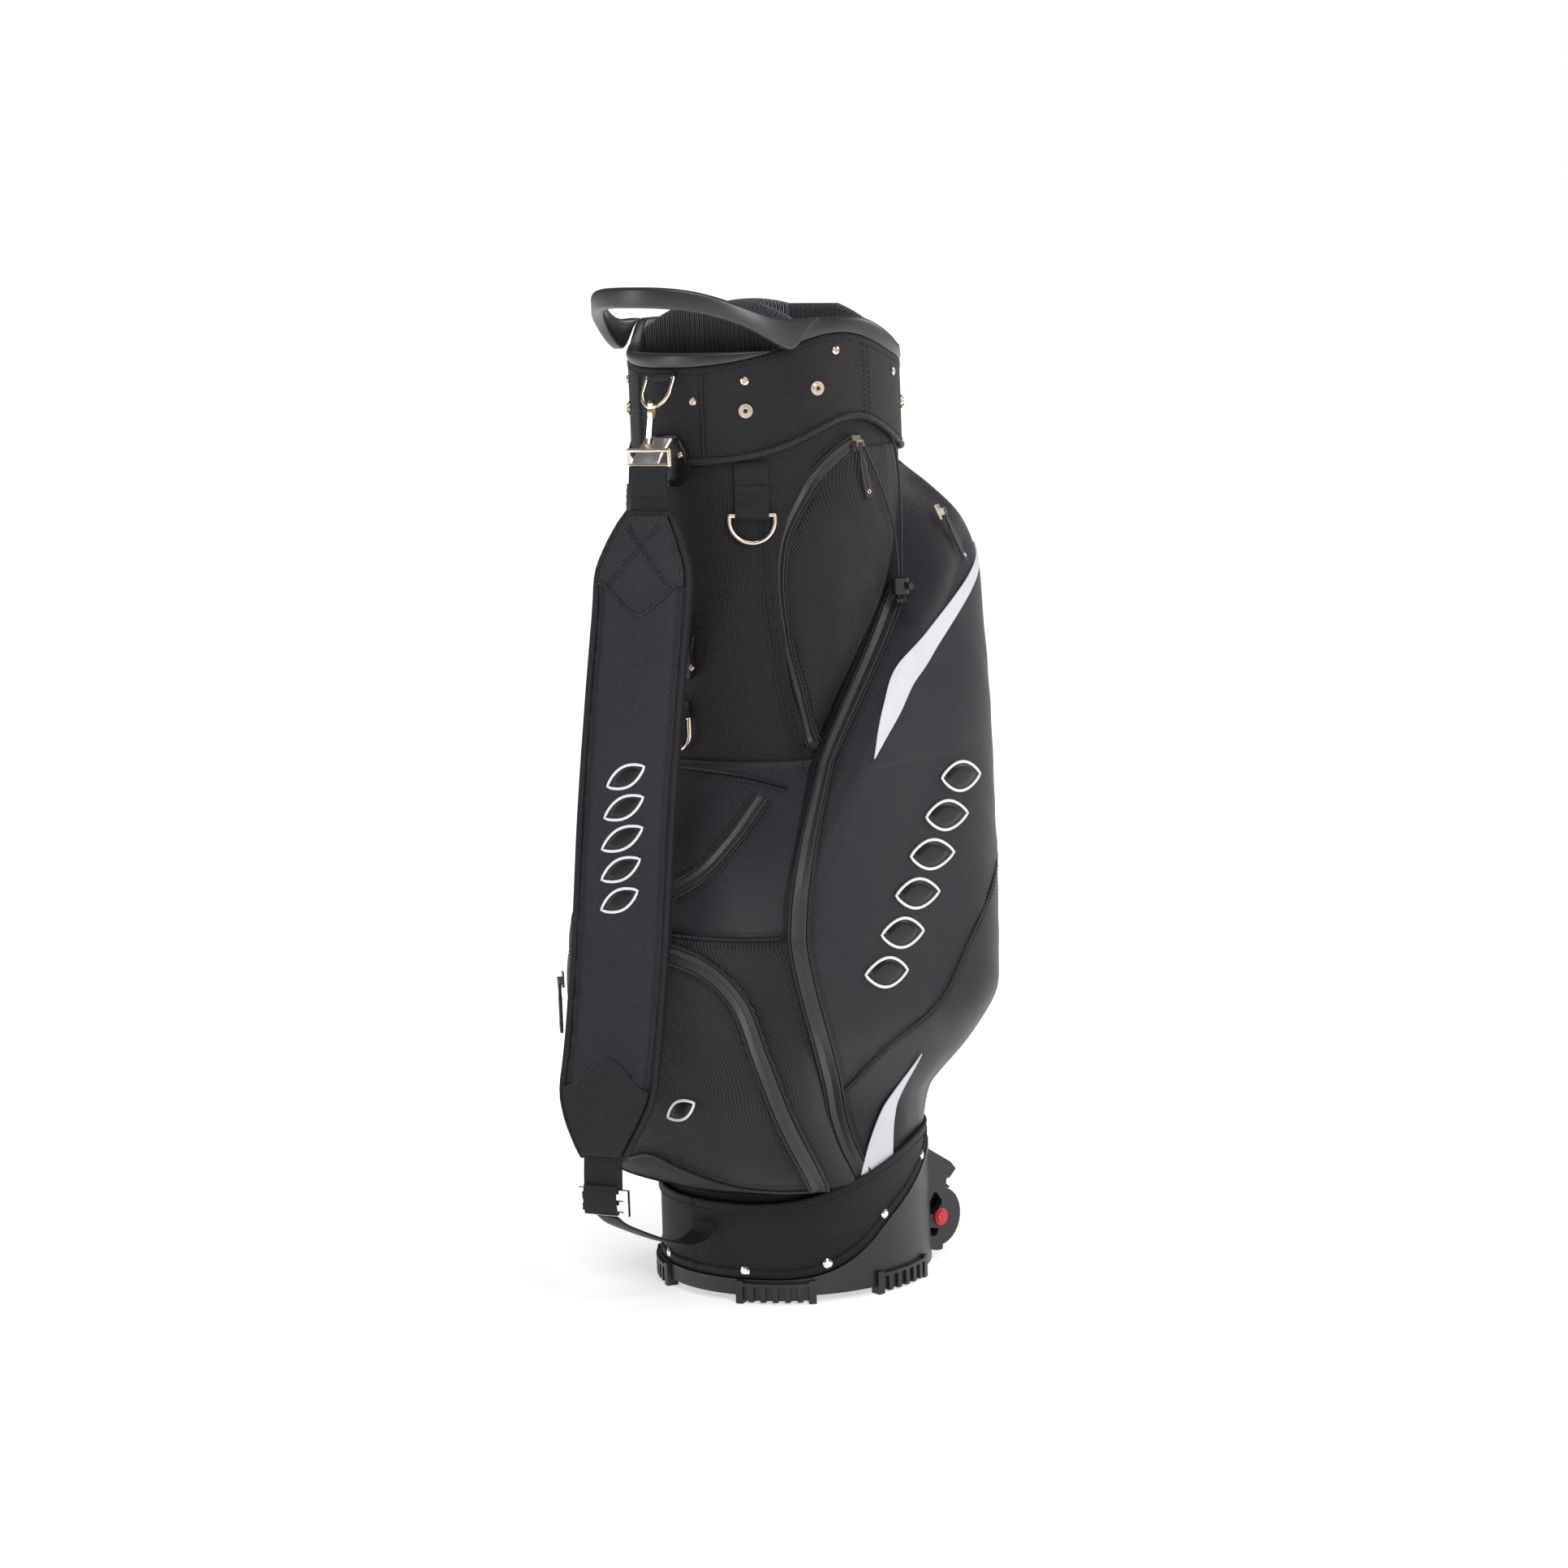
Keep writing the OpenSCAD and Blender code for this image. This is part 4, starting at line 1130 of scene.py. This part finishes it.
def make_loop():
    """The moulded lift loop: an oval band that grows out of the rim's shoulders."""
    steps, n = 96, 5
    end_y = -48
    first = 180 + math.degrees(math.asin((LOOP_Y - end_y) / LOOP_REACH))
    points = []
    for i in range(steps + 1):
        t = first + (540 - 2 * first) * i / steps
        p = Vector((COLLAR_R * cos(t), LOOP_Y + LOOP_REACH * sin(t), 0))
        inward = Vector((-LOOP_REACH * cos(t), -COLLAR_R * sin(t), 0)).normalized()
        high, low = loop_high(p.y), loop_low(p.y)
        b = min(3.4, (high - low) / 3)
        thick = LOOP_T - 1
        for cx, cz, start in ((b, high - b, 90), (thick - b, high - b, 0),
                              (thick - b, low + b, -90), (b, low + b, -180)):
            for a in range(n):
                turn = start + 90 - 90 * a / (n - 1)
                points.append(Vector((p.x, p.y + TUBE_Y, 0)) + inward * (cx + b * cos(turn))
                              + Vector((0, 0, cz + b * sin(turn))))
    ring = 4 * n
    faces = tube_faces(steps + 1, ring, flipped=True)
    faces.append(tuple(range(ring)))
    faces.append(tuple(reversed(range(steps * ring, (steps + 1) * ring))))
    finish_piece(make_mesh("lift_loop_moulding", points, faces), "moulded",
                 replaces=("lift_loop",))


# ---------------------------------------------------------------- dividers and floor

BAR_T, FRONT_BAR_Y, REAR_BAR_Y = 13, -48, 34
WALL_LOW, BAR_LOW = 92, 829


def divider_high(x, y):
    """Height of the padding's top, arched across and along the mouth."""
    return min(696 + math.sqrt(200 ** 2 - x * x), 673 + math.sqrt(220 ** 2 - (y + 20) ** 2))


def padded_bar(name, start, end):
    """A divider bar's round-topped padding between two (x, y) points of the bag."""
    a = Vector((start[0], start[1] + TUBE_Y, 0))
    b = Vector((end[0], end[1] + TUBE_Y, 0))
    along = (b - a).normalized()
    side = along.cross(UP)
    half = BAR_T / 2
    steps = 140
    rails = [(a + (b - a) * i / steps, side, UP) for i in range(steps + 1)]

    def shape(t):
        p = a + (b - a) * t
        edge = divider_high(p.x, p.y - TUBE_Y) - half
        w = half * (1 + 0.05 * math.cos(t * steps * math.pi / 2))
        top = [(w * cos(k), edge + half * sin(k)) for k in range(20, 180, 20)]
        return [(w, BAR_LOW), (w, edge)] + top + [(-w, edge), (-w, BAR_LOW)]

    return sweep(name, rails, shape)


def chord(y):
    return math.sqrt((TUBE_R - 7.5) ** 2 - y * y)


def join(objects, name):
    """Joins pieces of one material into one object."""
    bpy.ops.object.select_all(action="DESELECT")
    for o in objects:
        o.select_set(True)
    bpy.context.view_layer.objects.active = objects[0]
    bpy.ops.object.join()
    objects[0].name = name
    return objects[0]


def make_dividers():
    front, rear, back = chord(FRONT_BAR_Y), chord(REAR_BAR_Y), chord(0)
    # each bar's two ends, and how far behind its start its wall begins
    bars = {"front": ((-front, FRONT_BAR_Y), (front, FRONT_BAR_Y), 0),
            "rear": ((-rear, REAR_BAR_Y), (rear, REAR_BAR_Y), 0),
            "middle": ((0, FRONT_BAR_Y), (0, back), 1)}
    padding = [padded_bar("bar_" + name, a, b) for name, (a, b, _) in bars.items()]
    finish_piece(join(padding, "divider_padding"), "pile",
                 replaces=("divider_top",))
    walls = []
    for name, (a, b, back_step) in bars.items():
        start, end = Vector((a[0], a[1] + back_step, 0)), Vector((*b, 0))
        across = (end - start).normalized().cross(UP)

        def place(u, v, start=start, end=end, across=across):
            z = WALL_LOW + (BAR_LOW - WALL_LOW) * v
            sway = 2.2 * noise.noise(Vector((u * 5, v * 9, start.y))) * math.sin(math.pi * v)
            return start + (end - start) * u + across * sway + Vector((0, TUBE_Y, z))

        walls.append(grid(f"wall_{name}", 30, 60, place, thick=1.5))
    finish_piece(join(walls, "divider_walls"), "lining",
                 replaces=("divider_sheets",))


def make_floor_pad():
    """The foam at the bottom, cut away round the wheel wells."""
    low, high = (corner.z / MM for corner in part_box("floor_pad"))
    r, well_x, well_y, steps = TUBE_R - 4.4, 59, 62, 144
    ring = []
    for i in range(steps):
        t = 360 * i / steps
        x, y = abs(sin(t)), -cos(t)
        cut = max(well_x / max(x, 0.01), well_y / max(y, 0.01))
        ring.append((t, min(r, cut) if y > 0 else r))
    levels = ((-1.6, low), (0, low + 1.6), (0, high - 1.6), (-1.6, high))
    points = [at(t, reach_out + inset, z) for inset, z in levels for t, reach_out in ring]
    points += [Vector((0, TUBE_Y, low)), Vector((0, TUBE_Y, high))]
    faces = tube_faces(len(levels), steps)
    for i in range(steps):
        j = (i + 1) % steps
        faces += [(j, i, 4 * steps), (3 * steps + i, 3 * steps + j, 4 * steps + 1)]
    finish_piece(make_mesh("floor_foam", points, faces), "foam",
                 replaces=("floor_pad",))


# ---------------------------------------------------------------- shoulder strap

STRAP_TURN = 20
PAD_T = 11
PAD_LINE = [[714, 20, -164], [690, 19, -168], [660, 18, -172], [630, 17, -175], [558, 15, -185],
            [453, 12, -198], [346, 10, -209], [260, 8, -220], [215, 7, -228], [180, 6, -234],
            [152, 5, -236]]
PAD_WIDTH = [[152, 46], [166, 60], [184, 78], [206, 93], [235, 94], [640, 94], [664, 92],
             [686, 76], [702, 60], [714, 46]]
WIDE = sideways(STRAP_TURN)


def pad_spot(z, across, lift=0.0):
    """A point of the strap at a height, across mm from its middle and lift mm proud of it."""
    rows_x = [[h, x] for h, x, _ in reversed(PAD_LINE)]
    rows_y = [[h, y] for h, _, y in reversed(PAD_LINE)]
    middle = Vector((smooth(z, rows_x), smooth(z, rows_y) + TUBE_Y, z))
    ahead = Vector((smooth(z - 4, rows_x), smooth(z - 4, rows_y) + TUBE_Y, z - 4))
    out = WIDE.cross((middle - ahead).normalized()).normalized()
    return middle + WIDE * across + out * lift, out


def pad_crown(z, t):
    """Half thickness of the pad at a height, t from -1 to 1 across it."""
    ends = min(1, roll((z - 150) / 26), roll((716 - z) / 26))
    return (PAD_T / 2 - 0.4) * (0.62 + 0.38 * (1 - abs(t) ** 3)) * (0.7 + 0.3 * ends)


def pad_shell(shrink=1.0):
    """The closed form of the pad before it is puffed."""
    across, up = 18, 110
    points = []
    for face in (1, -1):
        for j in range(up + 1):
            z = 152.5 + (713.5 - 152.5) * j / up
            width = smooth(z, PAD_WIDTH) / 2 - 1
            for i in range(across + 1):
                t = 2 * i / across - 1
                points.append(pad_spot(z, width * t, face * pad_crown(z, t) * shrink)[0])
    k = (across + 1) * (up + 1)
    w = across + 1
    faces = []
    for j in range(up):
        for i in range(across):
            q = (j * w + i, j * w + i + 1, (j + 1) * w + i + 1, (j + 1) * w + i)
            faces += [tuple(reversed(q)), tuple(v + k for v in q)]
        for i, flip_it in ((0, False), (across, True)):
            q = (j * w + i, (j + 1) * w + i, (j + 1) * w + i + k, j * w + i + k)
            faces.append(tuple(reversed(q)) if flip_it else q)
    for j, flip_it in ((0, True), (up, False)):
        for i in range(across):
            q = (j * w + i, j * w + i + 1, j * w + i + 1 + k, j * w + i + k)
            faces.append(tuple(reversed(q)) if flip_it else q)
    return make_mesh("shoulder_pad_cover", points, faces)


def puff(obj, voxel=5.0, pressure=4.0, frames=20, cap=2.2):
    """Remeshes a pad and swells it by cloth simulation, capping how far each point moves."""
    remesh = obj.modifiers.new("remesh", "REMESH")
    remesh.mode = "VOXEL"
    remesh.voxel_size = voxel * MM
    apply_modifier(obj, remesh)
    rest = [v.co.copy() for v in obj.data.vertices]
    cloth = obj.modifiers.new("cloth", "CLOTH")
    cloth.settings.use_pressure = True
    cloth.settings.uniform_pressure_force = pressure
    cloth.settings.effector_weights.gravity = 0
    scene = bpy.context.scene
    for number in range(1, frames + 1):
        scene.frame_set(number)
    apply_modifier(obj, cloth)
    scene.frame_set(1)
    for v, start in zip(obj.data.vertices, rest):
        move = v.co - start
        if move.length > cap * MM:
            v.co = start + move.normalized() * cap * MM


def apply_modifier(obj, modifier):
    graph = bpy.context.evaluated_depsgraph_get()
    mesh = bpy.data.meshes.new_from_object(obj.evaluated_get(graph))
    old = obj.data
    obj.modifiers.remove(modifier)
    obj.data = mesh
    bpy.data.meshes.remove(old)


QUILTS = [190, 208, 226, 640, 658, 676]


def make_pad():
    pad = pad_shell(0.85)
    puff(pad, voxel=4.0)
    divide = pad.modifiers.new("smooth", "SUBSURF")
    divide.levels = divide.render_levels = 1
    apply_modifier(pad, divide)
    for v in pad.data.vertices:
        spot = v.co / MM
        z = min(max(spot.z, 152.5), 713.5)
        middle, out = pad_spot(z, 0)
        across = (spot - middle).dot(WIDE)
        depth = (spot - middle).dot(out)
        edge = smooth(z, PAD_WIDTH) / 2 - abs(across)
        groove = 1.5 * math.exp(-((edge - 9) / 2.6) ** 2)
        groove += 0.5 * sum(math.exp(-((z - q) / 2.4) ** 2) for q in QUILTS) * (edge > 9)
        ripple = 0.5 * noise.noise(Vector((across / 16, z / 11, 2)))
        ripple *= math.exp(-((edge - 13) / 6) ** 2)
        side = 1 if depth > 0 else -1
        v.co += out * side * (ripple - groove) * min(1, abs(depth) / 3) * MM
    layer = pad.data.uv_layers.new(name="weave")
    for loop in pad.data.loops:
        spot = pad.data.vertices[loop.vertex_index].co
        layer.data[loop.index].uv = (spot.dot(WIDE), spot.z)
    pad.data.polygons.foreach_set("use_smooth", [True] * len(pad.data.polygons))
    finish_piece(pad, "jacquard", replaces=("shoulder_pad",))


def pad_top(z, x):
    """How proud the pad's front is at a height and a place across it."""
    return pad_crown(z, min(1, abs(x) / (smooth(z, PAD_WIDTH) / 2))) + 0.5


def pad_rails(spots, proud=None, shift=0, closed=False):
    """Rails along (height, across) points, proud of the pad's front or else in its middle."""
    places = [pad_spot(z, x)[0] for z, x in spots]
    last = len(spots) - 1
    rails = []
    for i, (z, x) in enumerate(spots):
        out = pad_spot(z, x)[1]
        before = places[i - 1] if closed else places[max(i - 1, 0)]
        after = places[(i + 1) % (last + 1)] if closed else places[min(i + 1, last)]
        side = (after - before).normalized().cross(out).normalized()
        lift = 0 if proud is None else pad_top(z, x) + proud
        rails.append((places[i] + out * lift + side * shift, side, out))
    return rails


def pad_outline(inset):
    heights = [153 + 560 * i / 70 for i in range(71)]
    right = [(z, smooth(z, PAD_WIDTH) / 2 - inset) for z in heights]
    left = [(z, -x) for z, x in reversed(right)]
    return right + left


PATCH_INSET = 5


def patch_reach(x):
    """How much of a patch's height it has at x, from -1 to 1 across: it ends in a soft point."""
    return ease(1 - abs(x)) * 0.32 + 0.68


def make_pad_patch(name, z0, z1):
    """A twill patch over one end of the pad, from z0 to its point at z1, with its stitch lines."""
    def place(u, v):
        x = (u - 0.5) * 2
        z = z0 + (z1 - z0) * v * patch_reach(x)
        across = x * (smooth(z, PAD_WIDTH) / 2 - PATCH_INSET)
        spot, out = pad_spot(z, across)
        return spot + out * (pad_top(z, across) + 0.7)

    downward = z1 < z0
    patch = grid(f"pad_patch_{name}", 40, 40,
                 place if downward else lambda u, v: place(1 - u, v), thick=1.2)
    if downward:
        patch.data.flip_normals()
    finish_piece(patch, "patch")
    half = smooth(z1, PAD_WIDTH) / 2 - PATCH_INSET
    edge = [(z0 + (z1 - z0) * patch_reach(x), x * half) for x in [i / 15 - 1 for i in range(31)]]
    finish_piece(sweep(f"pad_patch_hem_{name}", pad_rails(edge, 0.8), round_profile(1.3)),
                 "piping")
    za, zb = z0 + (z1 - z0) * 0.1, z0 + (z1 - z0) * 0.72
    rows = []
    for s in (-1, 1):
        line = [(za + (zb - za) * i / 20, s * (-16 + 46.4 * i / 20)) for i in range(21)]
        rows += [pad_rails(line, 0.9, shift) for shift in (0, 3)]
    return rows


def make_pad_trim():
    binding = sweep("pad_binding", pad_rails(pad_outline(2.2), closed=True),
                    box_profile(6.4, 8.4, 2.4), closed=True)
    finish_piece(binding, "binding")
    inner = [(z, x) for z, x in pad_outline(8.5) if 158 < z < 708]
    half = len(inner) // 2
    rows = [pad_rails(part, 0.3) for part in (inner[:half], inner[half:])]
    rows += make_pad_patch("top", 712, 626) + make_pad_patch("low", 154, 238)
    finish_piece(stitches("pad_stitches", rows, pitch=3.8), "thread")

    def on_pad(s, t):
        z = 432 + s
        spot, out = pad_spot(z, t)
        return spot + out * (pad_top(z, t) - 0.3), out

    motif_on("pad_motif", on_pad, 5, 27, 44, 9)


def strip_rails(points, wide, steps):
    """Rails of a strip through the points, its width lying along wide."""
    line = [spline(points, i / steps) for i in range(steps + 1)]
    rails = []
    for i, p in enumerate(line):
        along = (line[min(i + 1, steps)] - line[max(i - 1, 0)]).normalized()
        rails.append((p, wide, wide.cross(along).normalized()))
    return rails


def webbing(name, stations, width, thick, turn, node=None, steps=30):
    """A strip of webbing through [x, y, z] points, turned about the vertical."""
    wide = sideways(turn)
    points = [Vector(p) + Vector((0, TUBE_Y, 0)) for p in stations]
    strip = sweep(name, strip_rails(points, wide, steps), box_profile(width, thick))
    finish_piece(strip, "webbing", replaces=(node,) if node else ())


TAIL = [[6, -236, 99], [7, -226, 90], [8, -208, 80], [9, -188, 70], [10, -170, 62],
        [11, -154, 57], [11, -140, 57], [12, -130, 62], [12, -126.5, 72]]


def make_webbing():
    webbing("strap_web_upper", [[16, -158.4, 754], [18, -161, 735], [20, -164, 713]], 36, 3,
            STRAP_TURN, "strap_web_top")
    webbing("strap_fold_upper", [[16.1, -160.4, 754], [17.9, -163, 742], [18.3, -163.6, 728]], 36,
            2.2, STRAP_TURN)
    webbing("strap_web_lower", [[5, -236.4, 152], [5, -237.5, 138], [5, -238, 124]], 38, 3,
            STRAP_TURN, "strap_web_low")
    webbing("strap_fold_lower", [[5, -241.5, 127], [5, -243, 115], [5, -241.5, 101]], 33, 2,
            STRAP_TURN)
    webbing("strap_tail_web", TAIL, 26, 2.4, 5, "strap_tail", 60)


def make_tabs():
    """Webbing tabs rolled round the bars of the rings on the tube."""
    tabs = (("towel_tab", 39, 122, 708, 30, 46), ("mid_ring_tab", 0, 122, 528, 24, 16),
            ("strap_tab", 0, 126, 829, 28, 6))
    for node, theta, r, z, width, up in tabs:
        side, out = sideways(theta), outward(theta)
        bar = at(theta, r, z)
        loop = [bar + (out * cos(a) - UP * sin(a)) * 2.75 for a in range(-60, 181, 20)]
        wall = r - TUBE_R - 1.9
        lift = min(wall, 2.4)
        back = [bar - out * lift + Vector((0, 0, h)) for h in (6, up * 0.5, up)]
        front = [bar - out * (lift - 1.5) + Vector((0, 0, h)) for h in (up * 0.55, 8)]
        line = (front if up > 12 else []) + loop + (back if up > 12 else back[:1])
        rails = strip_rails(line, side, 60)
        finish_piece(sweep(node + "_web", rails, box_profile(width, 1.5)), "webbing",
                     replaces=(node,))


HANDLE_CURVE = [[776, 130], [768, 137], [760, 144.5], [745, 151], [722, 154.5], [690, 155],
                [655, 152], [625, 144], [603, 134], [588, 128]]


def make_handle():
    points = [Vector((0, TUBE_Y - out, z)) for z, out in HANDLE_CURVE]
    rails = strip_rails(points, Vector((1, 0, 0)), 80)
    finish_piece(sweep("carry_handle_bar", rails, box_profile(34, 4)), "silver_handle",
                 replaces=("carry_handle",))
    def knurl(t):
        k = 1 + 0.12 * math.cos(t * 22 * math.pi)
        return [(s, u * k) for s, u in box_profile(36, 6.5)]

    finish_piece(sweep("carry_handle_grip", rails[30:52], knurl), "rubber")


# ---------------------------------------------------------------- zip pulls

ZIPS = [(84, 131, 766, 14), (117, 163.5, 700, 24), (-84, 131, 766, 14), (-117, 163.5, 700, 24),
        (-34, 209, 285, 0)]


# half width and half thickness at each distance below the pin
PULL_SHAPE = [[0, 2.2, 2.2], [3, 2.3, 2.0], [8, 2.0, 1.5], [13, 2.4, 1.5], [17, 3.7, 1.7],
              [24, 3.8, 1.7], [40, 3.8, 1.7], [46, 3.6, 1.6], [49.4, 2.4, 1.1]]
PULL_LONG, PULL_UP = 49.4, 1.2


def make_pull(i):
    """A soft moulded pull: loop, waisted neck and a ribbed paddle with an eyelet."""
    theta, r, z, lean = ZIPS[i]
    turn = (Matrix.Rotation(math.radians(theta), 4, "Z")
            @ Matrix.Rotation(math.radians(-lean), 4, "X"))
    place = at(theta, r, z)
    steps = 60
    rails = []
    for k in range(steps + 1):
        down = PULL_LONG * k / steps - PULL_UP
        rails.append((Vector((0, 0, -down)), Vector((1, 0, 0)), Vector((0, -1, 0))))

    def section(t):
        down = max(PULL_LONG * t - PULL_UP, 0)
        w = smooth(down, [[a, b] for a, b, _ in PULL_SHAPE])
        h = smooth(down, [[a, c] for a, _, c in PULL_SHAPE])
        h *= 1 - 0.12 * (math.cos(down * 2.6) > 0.4) * (22 < down < 38)
        return [(w * math.copysign(abs(cos(a)) ** 0.6, cos(a)),
                 h * math.copysign(abs(sin(a)) ** 0.6, sin(a))) for a in range(0, 360, 22)]

    body = sweep(f"pull_{i + 1}_paddle", rails, section)
    ring_rails = []
    for k in range(20):
        a = 18 * k
        out = Vector((cos(a), 0, sin(a)))
        ring_rails.append((Vector((0, -1.5, -43)) + out * 1.5, out, Vector((0, -1, 0))))
    eyelet = sweep(f"pull_{i + 1}_eyelet", ring_rails, round_profile(0.55, 8), closed=True)
    for obj, material, slot in ((body, "rubber", "pull_rubber"), (eyelet, "brass", "pale_brass")):
        obj.data.transform(Matrix.Translation(place * MM) @ turn)
        finish_piece(obj, material, f"pull_{i + 1}",
                     (f"zip_pull_{i + 1}",) if obj is body else ())


# ---------------------------------------------------------------- wheels

AXLE_Y, AXLE_Z, TRACK = 95, 43, 77.5
HUB_R = 18


def make_tyre(sign, side):
    """A tyre with blocks of tread round a rounded carcass."""
    blocks, steps = 26, 156
    half = [(25.2, 1.4), (26, 2.2), (25.9, 5.5), (24.4, 8.0), (22, 8.9), (HUB_R + 0.1, 8.2)]
    section = [(r, -x) for r, x in reversed(half)] + half
    centre = Vector((sign * TRACK, AXLE_Y + TUBE_Y, AXLE_Z))
    points = []
    for i in range(steps):
        a = 360 * i / steps
        gap = math.cos(math.radians(a * blocks)) > 0.55
        for r, x in section:
            skew = a + x * 0.9
            cut = 1.2 if gap and r > 25 else 0
            points.append(centre + Vector((x, (r - cut) * cos(skew), (r - cut) * sin(skew))))
    faces = tube_faces(steps, len(section), closed=True)
    finish_piece(make_mesh(f"tyre_{side}_tread", points, faces), "tyre",
                 f"{side}_wheel", (f"tyre_{side}",))


# ---------------------------------------------------------------- CAD pieces' finishes

CAD_FINISH = {
    "moulded": ["rear_grip"],
    "base": ["base_tub", "wheel_housing_near", "wheel_housing_far"],
    "steel": ["axle_pins", "stay_rods"],
    "red": ["hub_caps"],
    "gloss": ["wheel_near", "wheel_far", "handle_plates", "cord_lock", "lock_button"],
    "chrome": ["base_rivets", "strap_buckle"],
    "brass": ["collar_rivets", "collar_snaps", "zip_sliders", "strap_ring", "snap_hook",
              "hook_gate", "web_eye", "mid_ring", "towel_ring", "handle_rivets"],
}


def finish_cad():
    for material, nodes in CAD_FINISH.items():
        for node in nodes:
            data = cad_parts[node].data
            data.materials.clear()
            data.materials.append(MATERIALS[material])


make_tube()
make_lining()
make_front_pockets()
make_side_pockets()
make_valuables()
make_seams()
make_marks()
make_cuff()
make_collar()
make_snap_cores()
make_rim()
make_loop()
make_dividers()
make_floor_pad()
make_pad()
make_pad_trim()
make_webbing()
make_tabs()
make_handle()
for number in range(len(ZIPS)):
    make_pull(number)
make_tyre(1, "near")
make_tyre(-1, "far")
finish_cad()
